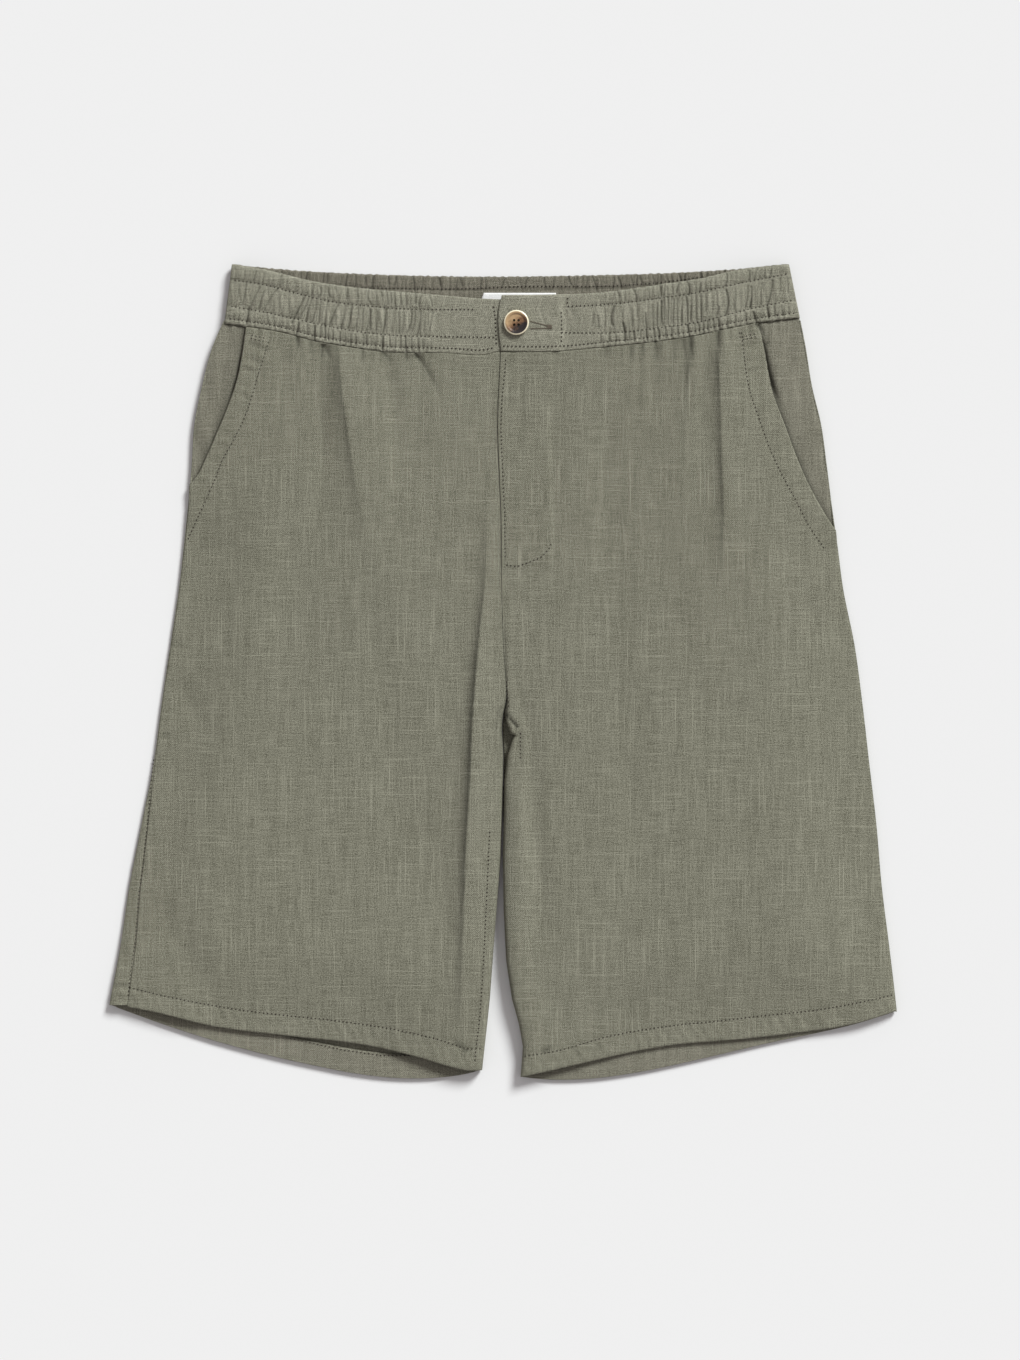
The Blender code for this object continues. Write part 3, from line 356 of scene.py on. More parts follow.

# Finer creases of the front, pointed at their bottom, fading out from their first end to the second:
# X and level of both ends, bow, height, width to the left and right, painted shade
CREASES = numbers(
    (-143.9, 236, -142.8, 222, 0.3, -1.5, 1.4, 1.4, 0.65), (-134, 232, -133, 212, 0, -0.75, 1.6, 1.6, 0.3),
    (-125.4, 229, -127.2, 214, 0, -1.5, 1.6, 1.6, 0.6), (-125.4, 228, -118.6, 215, 0, -1.2, 1.4, 1.8, 0.45),
    (-125.9, 185, -125.5, 106, 0, -0.5, 1, 1.8, 0.15), (-98, 226, -98, 212, 0, -0.9, 1.4, 1.4, 0.35),
    (-86, 226, -75.6, 214, 0, -1.35, 1.5, 1.4, 0.55), (-67.8, 223.5, -66, 213, 0, -1.2, 1.3, 1.3, 0.55),
    (-61.3, 222.5, -54.5, 213, 0, -1.35, 1.5, 1.3, 0.6), (-60.5, 221.5, -41, 186, 1.5, -1.2, 3.4, 2.2, 0.25),
    (71.8, 228, 72.3, 214, 0, -0.9, 1.4, 1.4, 0.35), (90.4, 230, 89.2, 214, 0, -0.9, 1.4, 1.4, 0.35),
    (97.4, 231, 98.6, 216, 0, -0.9, 1.4, 1.4, 0.35), (106.8, 233, 107.3, 212, 0, -1.35, 1.4, 1.4, 0.45),
    (122, 234, 119, 214, 0, -0.9, 1.5, 1.5, 0.35), (125.4, 234, 128.3, 214, 0, -1.05, 1.5, 1.5, 0.4),
    (131, 236.5, 131.2, 210, 0.4, -1.95, 1.6, 1.6, 0.75),
    (150.6, 240, 151.3, 215, -0.4, -1.5, 1.4, 1.4, 0.65), (17, 210.6, 35, 216.2, 0, -0.35, 1.6, 1.6, 0.15),
    (-1, 188.6, 10, 188.9, 0, -0.3, 1.2, 1.2, 0.1), (15, 218, 15.3, 84, 0, -0.3, 1.4, 1.4, 0.08),
    (-24, -266, -38, -254.5, 0.5, -0.8, 1.6, 1.6, 0.5), (27, -266.5, 38, -262.5, 0.5, -0.8, 1.5, 1.5, 0.5),
    (0.6, -28.4, 10.9, -39.4, 0, -1.1, 0.8, 0.8, 1), (10.9, -39.4, 0.6, -28.4, 0, -1.1, 0.8, 0.8, 1),
    (-1.8, -24, -8.8, -58, 0.3, -0.7, 1.2, 2, 0.3), (-0.8, -30, -3.6, -80, 0.4, -0.6, 1, 1.6, 0.35),
    (12, -42, 14, -80, 0, -0.6, 1.4, 2, 0.3), (2.5, -29, 2.9, -6, 0, -0.8, 0.8, 0.8, 0.6),
    (2.9, -10, -0.3, 60, 0, -0.6, 0.8, 0.8, 0.4), (176.8, 243.5, 187.3, 229.5, 0.7, -1.3, 1, 1, 0.9),
    (187.3, 230.8, 180, 227.6, 0.3, -0.9, 0.9, 0.9, 0.6), (-234, 20, -221, 17, 0, -0.9, 1.5, 1.8, 0.25),
    (-239, -45, -228, -46.5, 0, -0.8, 1.5, 1.8, 0.2), (-266, -204, -256, -205, 0, -0.8, 1.5, 1.8, 0.25),
    (240, 95, 226, 90, 0, -0.8, 1.4, 1.8, 0.2), (244, 80, 230, 84, 0, -0.7, 1.4, 1.8, 0.2),
    (272, -100, 262, -98, 0, -0.8, 1.5, 1.8, 0.2), (274, -124, 263, -128, 0, -0.7, 1.5, 1.8, 0.2),
)

# Rows of stitching through the elastic
ROW_LOW = 0.915  # share of the band's height at its lowest row
ROW_DARK_WIDTHS = (0.022, 0.022, 0.018)  # shares of that height over which shade is painted along its three rows
# darkness of the shade painted along those rows
ROW_DARK = 0.05
FULL_POWER = 0.6  # how round the cloth stands between two rows: 1 would be a sine
NARROW_FIELD = 0.15  # share of the band's height up to which a field between two rows is narrow
NARROW_FULLNESS = 0.55
ROW_START = 2.5  # distance of the first stitch from the band's end
BACK_ROW_SHARE = 0.245  # share of the back band's height at its row
BACK_ROW_ENDS = (-150.0, 150.0)
# Level of the back band's row by X
BACK_ROW = numbers(
    (-131.2, 272.6), (-108.1, 269.8), (-61.2, 268.4), (-26.2, 268.4), (8.8, 269.8), (80.1, 270.5),
    (115.1, 273.3), (136.1, 276.1),
)
BACK_HEM_ROW = numbers((-150, -256.9), (-113, -264.9), (-85, -269.1), (-52, -269.4))
# Share of the band's height, how far the flap's edge stands out
FLAP_EDGE = numbers((0, -0.5), (0.25, 1.6), (0.5, 2), (0.75, 1.2), (1, 0))


def band_creases(*rows):
    """Creases of the waistband: height, widths and painted shade of each are worked out from its depth.

    A row has X and level of the upper end, X and level of the lower end, bow and depth.
    """
    ends = numbers(*rows)
    depth = ends[:, 5]
    width = BAND_CREASE_WIDTH * (0.8 + 0.3 * depth)
    shade = BAND_CREASE_SHADE * (0.35 + 0.65 * depth)
    return np.column_stack([ends[:, :5], -BAND_CREASE_DEPTH * (0.3 + 0.7 * depth), width, width, shade])


# The two sides. inward is the way along X from the side to the middle, column the side's place in the tables
# that hold both, and band_end the X of the band's end at its top and at the waist seam.
# The pocket's tables give X by level, and sag how far the front hangs through beside its hem. The others give
# the level by X of an edge or a row of stitching, and the stitches are paths in X and level.
# pocket_slot is the highest and lowest level, depth and width of the slot where the pocket gapes, and
# row_ends the X at which the band's three rows stop.
RIGHT = {
    "name": "right",
    "inward": 1.0,
    "column": 1,
    "pocket_slot": (226.0, 176.0, 0.7, 1.8),
    "band_end": (-189.5, -194.6),
    "row_ends": (-20.0, -6.0, -6.0),
    "pocket": numbers(
        (131, -218.6), (138, -213.6), (152, -206.9), (167, -200.2), (186, -192.2), (204, -185.9),
        (221, -182.4), (246, -179.2),
    ),
    "pocket_stitch": numbers(
        (92, -220.6), (101.1, -216.6), (118.6, -208.2), (134.8, -201.2), (148.8, -195.6), (161.3, -188.6),
        (173.9, -182), (190, -176), (201.9, -172.5), (211, -169.8), (221.5, -166.2), (231, -163.6),
    ),
    "band_top": numbers(
        (-190, 285.3), (-166, 281.1), (-131, 272.7), (-96, 267.8), (-56, 264.3), (-14, 260.8), (40, 259.4),
    ),
    "seam": numbers(
        (-195, 243.6), (-179, 241.2), (-156, 237.3), (-131, 230.9), (-108, 226.8), (-84, 223.6), (-38, 222.4),
        (-10, 221.8), (-3, 223.6), (0, 224.1), (40, 224.1),
    ),
    "hem_front": numbers(
        (-276, -232.8), (-244, -238.4), (-201, -248.9), (-151, -255.2), (-94, -262.2), (-57, -270.6),
        (-38, -276.2), (-26, -279), (-14, -279),
    ),
    "hem_back": numbers(
        (-276, -233.4), (-235, -248.2), (-207, -257.3), (-169, -267.8), (-132, -276.2), (-104, -281.6),
        (-75, -284.9), (-47, -284.8), (-28, -282.5), (-14, -279.4),
    ),
    "hem_stitch": numbers(
        (-262, -221), (-225.7, -229.2), (-187.9, -236.2), (-150.8, -240.8), (-120.7, -243.9), (-94.1, -247.4),
        (-66.1, -252.3), (-38.1, -259.3), (-26.9, -263.2), (-14.6, -263.6),
    ),
    "sag": numbers(
        (-276, 0), (-245, 0.2), (-225, 1.2), (-204, 4.2), (-130, 4.6), (-85, 4.3), (-62, 2), (-40, 0.8),
        (-20, 0.4),
    ),
    "row_high": numbers(
        (-188.6, 274), (-166.2, 270.5), (-143.1, 264.2), (-119.3, 258.6), (-96.2, 255.8), (-73.1, 253.7),
        (-38.1, 253),
    ),
    "row_middle": numbers(
        (-192.1, 255.8), (-166.2, 251.3), (-143.1, 246), (-119.3, 240.8), (-96.2, 236.9), (-73.1, 234.8),
        (-38.1, 234.1), (-3.8, 233.4),
    ),
    "front_stitches": (
        SIDE_SEAM_STITCH[:, ::-1],
        numbers((-8.8, -111), (-10.6, -150), (-13, -200), (-15.6, -240), (-19.6, -274)),
        numbers((-176.4, 235.4), (-165.8, 233)),
        numbers((-176.9, 233.2), (-166.3, 230.8)),
    ),
    "band_stitches": (numbers((-6.4, 256), (-4.9, 247), (-4.6, 238), (-4.2, 227)),),
    "creases": band_creases(
        (-184.3, 271.9, -185.5, 257.9, 0, 0.4), (-179.7, 271.9, -182.8, 255, 0.7, 0.6),
        (-176.8, 255.6, -179.3, 241.8, -0.3, 1.4), (-172.1, 280.7, -174.6, 271.9, 0, 0.4),
        (-169.2, 270.2, -176.8, 254.4, -0.1, 0.8), (-165.7, 267.3, -170.9, 251.9, -0.7, 0.7),
        (-165.1, 250, -163.7, 242.5, 0, 0.5), (-160.2, 248.6, -159.2, 240.4, 0, 0.5),
        (-157.1, 267.8, -166.9, 251.4, -1.2, 0.8), (-155.8, 247.2, -156.2, 239.9, 0, 0.4),
        (-154, 278, -155.2, 267.5, -1.2, 0.7), (-153.2, 274.9, -154.6, 270.2, 0, 0.4),
        (-151.1, 246, -151.3, 238.1, 0, 0.5), (-145.2, 274.3, -145.8, 270.2, 0, 0.4),
        (-142.2, 244.5, -144.7, 233.9, 0.2, 1.5), (-138.5, 261.9, -148, 242.5, 0.1, 1.4),
        (-136.5, 243, -136.8, 234.6, 0, 0.5), (-135.6, 261.4, -144.1, 245.1, 0.9, 0.8),
        (-133.3, 261.2, -138.2, 243.9, 0, 0.8), (-132.4, 271.9, -134.2, 262, 0.5, 0.8),
        (-131.1, 242.3, -131.5, 231.1, -0.2, 1.5), (-130.3, 260.3, -134.2, 243, 1, 0.8),
        (-128.9, 270.2, -128.9, 261.2, 1.9, 0.7), (-127.2, 241.6, -127.7, 232.3, 0, 0.8),
        (-126.8, 259.7, -128.9, 242.5, -0.1, 0.8), (-124.7, 243.9, -124.2, 230.2, 0.5, 1.3),
        (-124, 270.2, -124.8, 261.4, 0, 0.7), (-122.8, 258.9, -124.7, 242.8, 0.5, 0.6),
        (-121.7, 240.4, -121.7, 230.5, 0, 0.7), (-120.7, 270.8, -120, 260.9, -1.6, 0.8),
        (-118.4, 239.5, -118.6, 229.9, 0, 0.5), (-117.2, 269.6, -115.8, 264.4, 0, 0.4),
        (-114.4, 257.7, -121.7, 240.7, -0.3, 1), (-113.7, 238.3, -113.7, 228.2, 0, 0.8),
        (-110, 257, -113.7, 239, 0.8, 0.8), (-110, 237.9, -109.8, 227.6, 0, 0.8),
        (-108.5, 268.7, -109.1, 259.7, 0, 0.7), (-106.2, 237.4, -106.5, 227.4, 0, 1),
        (-105.3, 256.2, -108.5, 238.6, 0.4, 0.9), (-103, 236.7, -102.3, 227, 0, 0.6),
        (-102.1, 267.9, -100.9, 260.3, 0, 0.4), (-100.9, 255.6, -103, 238.1, 0.5, 0.7),
        (-97.4, 236.4, -97.6, 227, 0, 0.7), (-97.2, 254.7, -98.6, 237.5, 0, 0.7),
        (-95.4, 236.7, -95.1, 226.4, 0, 0.8), (-93.3, 267.3, -91.3, 255.6, -1.8, 0.9),
        (-92.5, 254.2, -95.7, 236.9, 0.5, 0.8), (-92.2, 253.3, -93, 238.1, 0, 0.7),
        (-87.8, 252.7, -88.5, 237.5, 0, 0.6), (-85.8, 269.4, -83.4, 261.4, -0.4, 0.7),
        (-83.4, 235.2, -84, 224.1, -0.2, 1.5), (-81.7, 254.4, -84.1, 235.5, 0.7, 1.3),
        (-81.3, 267.1, -79.9, 255.8, 0, 0.8), (-79, 234.6, -78.8, 225.3, 0, 0.5),
        (-78.5, 265.5, -77.8, 256.8, 0, 0.4), (-77, 252.7, -77.6, 236.4, 0, 0.5),
        (-75.8, 266.3, -75.2, 255.4, 0, 0.7), (-75.2, 234.4, -75, 225.5, 0, 0.4),
        (-72.7, 252.1, -72.7, 235.2, -0.2, 0.8), (-71.8, 266.1, -71, 255.6, 0, 0.4),
        (-71.5, 234, -71.2, 224.1, 0, 0.8), (-69.1, 252.3, -69.9, 235.8, 0, 0.4),
        (-67.7, 265.5, -67.1, 254.4, 0, 0.6), (-67.7, 234.4, -67.5, 222.7, -0.2, 1.4),
        (-63.9, 253, -67.8, 235.5, 1.7, 1), (-63.6, 233.7, -63.6, 223.5, 0, 0.8),
        (-61.5, 252.3, -63.8, 236.4, 1, 0.8), (-60.7, 267.3, -61.2, 256.2, 0, 0.8),
        (-58.9, 233.7, -59.4, 223.5, 0, 0.7), (-57.4, 252.3, -60.3, 234, 0.8, 0.8),
        (-55.9, 233.4, -55.9, 223.5, 0, 0.7), (-55.2, 264.5, -58.1, 254.4, -1.5, 0.7),
        (-53.7, 251.5, -55.2, 236.9, 0, 0.4), (-52.4, 265.1, -48.9, 254.2, 0.4, 0.7),
        (-50, 233.2, -50.3, 224.1, 0, 0.5), (-48.8, 253, -51.7, 236.7, 0.3, 0.6),
    ),
}
LEFT = {
    "name": "left",
    "inward": -1.0,
    "column": 2,
    "pocket_slot": (236.0, 180.0, 2.6, 2.6),
    "band_end": (200.6, 208.2),
    "row_ends": (44.0, 41.0, 1.0),
    "pocket": numbers(
        (100, 232.8), (106, 228.8), (119, 220.9), (135, 212.5), (153, 204.8), (172, 197.8), (190, 190.8),
        (208, 184.8), (225, 181), (248, 177.6),
    ),
    "pocket_stitch": numbers(
        (85.8, 225.7), (101.1, 215.2), (120.7, 204.8), (140.3, 194.2), (159.2, 185.8), (178.8, 178.8),
        (194.9, 173.2), (213.8, 169.8), (228.5, 168), (238, 167),
    ),
    "band_top": numbers(
        (-6, 263), (39, 263.6), (63, 264.6), (110, 270.6), (138, 274.8), (166, 281.2), (200.6, 285.3),
    ),
    "seam": numbers(
        (-6, 223.7), (39, 223.7), (68, 226.3), (103, 230), (133, 234.2), (156, 239.1), (178, 243.6),
        (208, 247.6),
    ),
    "hem_front": numbers(
        (12, -283.9), (35, -279), (63, -272.7), (92, -266.4), (121, -261.5), (155, -258.7), (201, -253.8),
        (249, -246.1), (276, -237.7),
    ),
    "hem_back": numbers(
        (12, -284.2), (33, -286), (63, -285.3), (94, -281.1), (131, -273.4), (161, -266.4), (191, -259.4),
        (220, -253.4), (249, -246.6), (276, -238.2),
    ),
    "hem_stitch": numbers(
        (14.6, -269.1), (39.5, -264.9), (72.4, -255.8), (111.6, -248.8), (150.8, -244.6), (180.9, -241.1),
        (220.1, -236.9), (259.3, -229.6), (273, -226.4),
    ),
    "sag": numbers(
        (12, 0.4), (34, 1.2), (62, 3.2), (90, 4.5), (215, 4.6), (235, 3), (255, 0.8), (276, 0),
    ),
    "row_high": numbers(
        (45.1, 255.1), (80.1, 257.2), (103.2, 260.1), (138.2, 265.3), (161.3, 270.5), (199.1, 278.2),
    ),
    "row_middle": numbers(
        (40.9, 236.9), (80.1, 236.9), (110.2, 240.4), (138.2, 244.6), (171.1, 253), (204.8, 260.1),
    ),
    "front_stitches": (
        numbers((1.8, 74.5), (10.5, 73.5), (19.2, 76.6), (27.6, 80.1), (32.5, 85.8), (34.6, 91)),
        numbers((2.4, 219), (1.2, 205), (-0.4, 189), (-1, 170), (0, 145), (1.6, 108), (2, 78)),
        numbers((2.6, -6), (4.6, -26)),
        numbers((166.6, 233.6), (176.6, 236)),
        numbers((167.1, 231.6), (177.1, 234)),
        numbers((165.6, 238), (166.4, 231.6)),
        numbers((12.6, -42), (12.4, -62)),
    ),
    "band_stitches": (numbers((41, 252), (41.4, 240), (41, 229)), numbers((45.6, 262), (45.4, 256))),
    "creases": band_creases(
        (54.8, 267.9, 59.1, 263.6, -0.6, 0.5), (63.6, 250.4, 62.4, 241.6, 0, 0.5),
        (66.1, 249.2, 67.1, 238.7, 0, 0.5), (68.2, 236.4, 68.9, 229.4, 0, 0.5),
        (71.8, 254.4, 71.3, 240.4, 0, 0.4), (74.1, 236.7, 74.8, 229.7, 0, 0.4),
        (78.4, 267.5, 76.4, 258.2, 0.3, 0.8), (78.8, 237.2, 79.4, 229.7, 0, 0.5),
        (79, 256.3, 77.1, 240.7, -2.3, 1.1), (79.7, 267.1, 82, 260.9, 0, 0.6),
        (84, 244.2, 85.5, 229.2, 0.5, 1.4), (85.8, 267.9, 85.3, 258.9, 0, 0.4),
        (88.3, 237.5, 88.8, 229.7, 0, 0.5), (89.2, 255.6, 90.4, 240.4, 0, 0.5),
        (90.4, 268.2, 93.4, 258.5, 1.1, 0.8), (91.7, 238.1, 91.9, 230.2, 0, 0.8),
        (94, 257.7, 93.6, 246.9, 0, 0.5), (95.9, 267.8, 93.9, 264.2, 0, 0.5),
        (96.2, 238.3, 96.7, 230.4, 0, 0.5), (99.8, 251.2, 100.9, 238.6, -0.3, 0.9),
        (100.6, 238.8, 101.6, 230.4, -0.4, 1.4), (102.1, 268.4, 102.8, 260.3, 0, 0.5),
        (104.4, 257.4, 105.1, 239.9, 0, 0.6), (105.8, 239.3, 106.3, 230.2, 0, 0.8),
        (108.1, 258.5, 107.7, 240.4, 0, 0.6), (108.6, 239.5, 109.1, 231.1, 0, 0.8),
        (109.3, 239.3, 109.8, 231.7, 0, 0.6), (109.8, 270.2, 110.9, 261.2, 0, 0.7),
        (110.5, 269.8, 107.9, 260.1, 0.7, 0.8), (110.8, 260.3, 110.2, 241, 0, 0.8),
        (111.4, 259.6, 111.9, 240.7, -0.7, 0.9), (113, 260.5, 112.8, 241.6, 0, 0.6),
        (113.7, 271, 112.6, 262, 0, 0.7), (113.7, 240.2, 114, 232, 0, 0.8),
        (115.6, 261, 115.6, 241.4, 0, 0.8), (117.9, 261.4, 117.5, 242.2, 0, 0.5),
        (117.9, 240.9, 118.4, 233.4, 0, 0.5), (118.4, 272.2, 118.9, 262.8, 0, 0.6),
        (119.8, 261.7, 119.1, 242.2, 0, 0.8), (121.7, 261.9, 122.1, 242.5, 0, 0.6),
        (122.1, 241.6, 122.6, 233.9, 0, 0.7), (123.4, 272.2, 121.2, 263.8, -0.1, 1),
        (125.4, 262.4, 124.9, 242.8, 0, 0.8), (128.2, 263.1, 129.2, 242.8, 0.3, 1.3),
        (128.4, 273.1, 129.8, 262.4, 1.3, 1.2), (129, 243, 130.8, 231.8, 0.1, 1.5),
        (131.9, 263.1, 131.2, 243.4, 0, 0.7), (134.2, 243.7, 134.8, 235.5, 0, 0.8),
        (134.5, 274, 133.6, 269.6, 0, 0.5), (135, 263.8, 135.4, 243.7, 0, 0.8),
        (136.7, 244.2, 137.8, 236, 0, 0.8), (138.2, 264.2, 138.9, 244.5, 0, 0.9),
        (138.5, 271.9, 137.3, 264.2, 0, 0.8), (140.1, 245.1, 140.7, 235.8, 0, 0.8),
        (141.8, 264.7, 141.8, 250.9, 0, 0.4), (143.1, 245.6, 143.6, 237.4, 0, 0.8),
        (145.2, 273.1, 144.8, 266.1, 0, 0.4), (147, 259.1, 146.2, 247.4, 0, 0.4),
        (147.1, 246.5, 147.7, 237.5, 0, 0.7), (150.4, 247, 151.8, 237.6, 0.1, 1.4),
        (151.5, 255.6, 149, 247.7, 0, 0.8), (155.8, 268, 155.5, 247.9, 1.9, 1.4),
        (156.4, 279.2, 155, 268.4, 1.1, 0.9), (156.9, 248.4, 156.9, 239.9, 0, 0.5),
        (162.8, 268.4, 161.6, 252.1, 0, 0.4), (162.8, 249.5, 163, 241, 0, 0.4),
        (169.8, 251.2, 170.4, 242.2, 0, 0.4), (171, 270.8, 169.5, 253.9, 0.8, 0.8),
        (171.6, 281, 171.4, 272.4, 1.3, 0.9), (173.6, 270.1, 172.5, 253, 1, 1.2),
        (174.9, 252.3, 178.1, 242.5, 0, 1.5), (178.1, 282.7, 175.6, 273.3, 0, 0.6),
        (181.4, 272.5, 180.2, 255.6, 0, 0.4), (183.8, 283, 182.8, 274.9, 0, 0.4),
        (184.7, 255.4, 186.3, 246, 0.2, 1.4), (188.6, 284.8, 187.2, 276.8, 0, 0.6),
        (188.8, 275, 184.7, 254.9, 0.7, 1.3), (189.6, 256.2, 190.9, 246.7, 0, 0.8),
        (194.2, 276, 194.2, 264.4, 0, 0.5), (194.8, 257.2, 196.1, 248.1, 0, 0.8),
        (196, 284.2, 195.4, 277.8, 0, 0.4), (199.1, 276.8, 199.6, 263.8, 0, 0.5),
        (199.6, 258.2, 200.3, 249.3, 0, 0.5),
    ),
}


# ---------------------------------------------------------------- curves and steps


def smooth(table, at, column=1):
    """Cubic Hermite curve through a table's rows, over its first column's values and level past its ends."""
    knots = table[:, 0]
    values = table[:, column]
    slopes = np.gradient(values, knots)
    at = np.clip(at, knots[0], knots[-1])
    i = np.clip(np.searchsorted(knots, at) - 1, 0, len(knots) - 2)
    step = knots[i + 1] - knots[i]
    t = (at - knots[i]) / step
    start = (2 * t**3 - 3 * t**2 + 1) * values[i] + (t**3 - 2 * t**2 + t) * step * slopes[i]
    return start + (3 * t**2 - 2 * t**3) * values[i + 1] + (t**3 - t**2) * step * slopes[i + 1]


def straight(table, at, column=1):
    """Straight runs between a table's rows, level past its ends."""
    return np.interp(at, table[:, 0], table[:, column])


def ease(at, low, high):
    """Smooth step: 0 at low, 1 at high, with level ends."""
    t = np.clip((at - low) / (high - low), 0.0, 1.0)
    return t * t * (3.0 - 2.0 * t)


def rounding(distance, width, power=2.0):
    """Quarter of a rounded rectangle: 0 at an edge, 1 from the width inwards; power 2 is an ellipse."""
    left = 1.0 - np.clip(distance / width, 0.0, 1.0)
    return (1.0 - left**power) ** (1.0 / power)


def bell(distance, width):
    """1 at distance 0, fading like a bell over the width."""
    return np.exp(-((distance / width) ** 2))


def ripple(x, y, seed, wave):
    """Irregular waves between -1 and 1: three sines of unlike length and direction, each bent by another."""
    a = 2 * math.pi / wave
    one = np.sin(a * x + 1.3 * np.sin(0.37 * a * y + seed) + 2.1 * seed)
    two = np.sin(0.61 * a * x + 0.23 * a * y + 1.7 * np.sin(0.29 * a * x + 0.5 * seed) + 4.0 * seed)
    three = np.sin(1.57 * a * x - 0.19 * a * y + 0.9 * np.sin(0.53 * a * y - seed) + 1.1 * seed)
    return (one + 0.8 * two + 0.5 * three) / 2.3


def waves(x, y, height, share_x, share_y, seed, wave):
    """Irregular waves of a height, stretched along X and Y by the inverse of their shares."""
    return height * ripple(share_x * x, share_y * y, seed, wave)


def straight_folds(folds, x, y, pointed, fades):
    """Height and painted shade of straight folds: across each one's bowed line a bell, or a pointed crease.

    The bow is a parabola between the ends. The fades are the shares of the length over which a fold sets in
    at its first end and dies away at its second.
    """
    height = np.zeros(np.shape(x))
    dark = np.zeros(np.shape(x))
    for x0, y0, x1, y1, bow, high, left_width, right_width, shade in folds:
        length = math.hypot(x1 - x0, y1 - y0)
        share = ((x - x0) * (x1 - x0) + (y - y0) * (y1 - y0)) / length**2
        across = ((x - x0) * (y1 - y0) - (y - y0) * (x1 - x0)) / -length
        across = across - bow * 4.0 * share * (1.0 - share)
        width = np.where(across < 0.0, left_width, right_width)
        fade = ease(share, 0.0, fades[0]) * ease(share, 1.0, 1.0 - fades[1])
        shape = point(across / width) if pointed else bell(across, width)
        height = height + high * fade * shape
        dark = np.maximum(dark, shade * fade * shape)
    return height, dark


def point(distance):
    """About 1 at distance 0, falling off exponentially to both sides from a point that is just rounded."""
    return np.exp(POINT_LIFT - np.sqrt(distance**2 + POINT_ROUNDING))


def long_folds(x, y):
    """Height and painted shade of the long folds, whose place and size follow the level.

    A step is an exponential on its steep left side and a bell on its right, and a soft fold a bell on both.
    """
    height = np.zeros(np.shape(x))
    dark = np.zeros(np.shape(x))
    for name, table in LONG_FOLDS.items():
        across = x - smooth(table, y, 1)
        left = straight(table, y, 3)
        right = straight(table, y, 4)
        if name.startswith("step"):
            shape = np.where(across < 0.0, np.exp(np.minimum(across, 0.0) / left), bell(across, right))
        else:
            shape = bell(across, np.where(across < 0.0, left, right))
        height = height + straight(table, y, 2) * shape
        reach = FOLD_SHADE_REACH[0] + FOLD_SHADE_REACH[1] * left
        beside = np.exp(np.minimum(across, 0.0) / reach) * ease(across, *FOLD_SHADE_START)
        dark = np.maximum(dark, straight(table, y, 5) * beside)
    return height, dark


# ---------------------------------------------------------------- the laid tube


def crown(x, y):
    """Height of the front's outer face away from its edges: its level and the fly's extra cloth."""
    centre = straight(INNER, y, 2)
    far = centre + FLY_WIDTH
    edge, outer, end = FLY_BLENDS
    fly = ease(x, centre - edge, centre + edge) * ease(x, far + outer, far - outer)
    fly = fly * ease(y, FLY_END_LEVEL - end, FLY_END_LEVEL + end)
    return smooth(TUBE, y, 1) + FLY_RISE * fly


def pocket_end(leg):
    """Level at which the slanted pocket edge meets the side."""
    return leg["pocket"][0, 0]


def side_edge(leg, y):
    """X of the tube's outer edge. Beside a pocket it stands one layer further out, to cover the facing."""
    out = ease(y, pocket_end(leg) - POCKET_BLEND, pocket_end(leg)) * (LAYER + POCKET_SLACK)
    return smooth(SIDES, y, leg["column"]) - leg["inward"] * out


def thinning(distance, y):
    """How much thinner the tube is at a distance in from its outer edge."""
    return straight(THIN, y) * ease(distance, THIN_WIDTH, 0.0)


def openness(y):
    """1 where the inner edge is a rounded inseam, 0 above the crotch, where it is the flat centre seam."""
    return ease(y, CROTCH_LEVELS[1], CROTCH_LEVELS[0])


def upper(leg, side, distance, y, depth, relief=0.0):
    """Point of the tube's front, at a distance in from its outer edge and a depth below its outer face.

    Height and width of both rounded edges shrink by the depth, so faces of different depths nest.
    """
    roll = ROLL_SHARE * smooth(TUBE, y, 3)
    seam = smooth(TUBE, y, 2) + GAP / 2
    width = leg["inward"] * (straight(INNER, y, leg["column"]) - side)
    inner = width - distance
    closed = openness(y)
    x = side + leg["inward"] * distance
    z = crown(x, y) - thinning(distance, y) + relief - depth - seam
    inseam = 1.0 - closed + closed * rounding(inner, INNER_ROLL, EDGE_POWER)
    z = seam + z * rounding(distance, roll, EDGE_POWER) * inseam
    shift = depth * np.clip(1.0 - distance / roll, 0.0, 1.0)
    shift = shift - closed * depth * np.clip(1.0 - inner / INNER_ROLL, 0.0, 1.0)
    return np.stack([x + leg["inward"] * shift, y, z], axis=-1)


def back_inner(leg, y):
    """X of the back's inner edge: near the crotch the wearer's left back reaches across to the right one."""
    inner = straight(INNER, y, leg["column"])
    if leg["inward"] > 0.0:
        return inner
    beside = straight(INNER, y, RIGHT["column"]) + CROTCH_GAP
    return inner + (np.minimum(inner, beside) - inner) * ease(y, *CROTCH_REACH)


def lower(leg, side, distance, y, depth):
    """Point of the tube's back, at a distance in from its outer edge and a depth above its underside."""
    seam = smooth(TUBE, y, 2) - GAP / 2
    width = leg["inward"] * (back_inner(leg, y) - side)
    inner = width - distance
    closed = openness(y)
    flat = rounding(distance, BACK_ROLL) * (1.0 - closed + closed * rounding(inner, BACK_ROLL))
    z = seam - (seam - depth) * flat
    shift = depth * np.clip(1.0 - distance / BACK_ROLL, 0.0, 1.0)
    shift = shift - closed * depth * np.clip(1.0 - inner / BACK_ROLL, 0.0, 1.0)
    return np.stack([side + leg["inward"] * (distance + shift), y, z], axis=-1)


def bunched(angle):
    """Share of a rounded side's width at an angle round it, with its points bunched at the edge."""
    return (1.0 - np.cos(angle)) ** BUNCHING


def angle_of(distance, width):
    """Angle round a rounded side at which it has come this far in."""
    return np.arccos(np.clip(1.0 - np.clip(distance / width, 0.0, 1.0) ** (1.0 / BUNCHING), -1.0, 1.0))


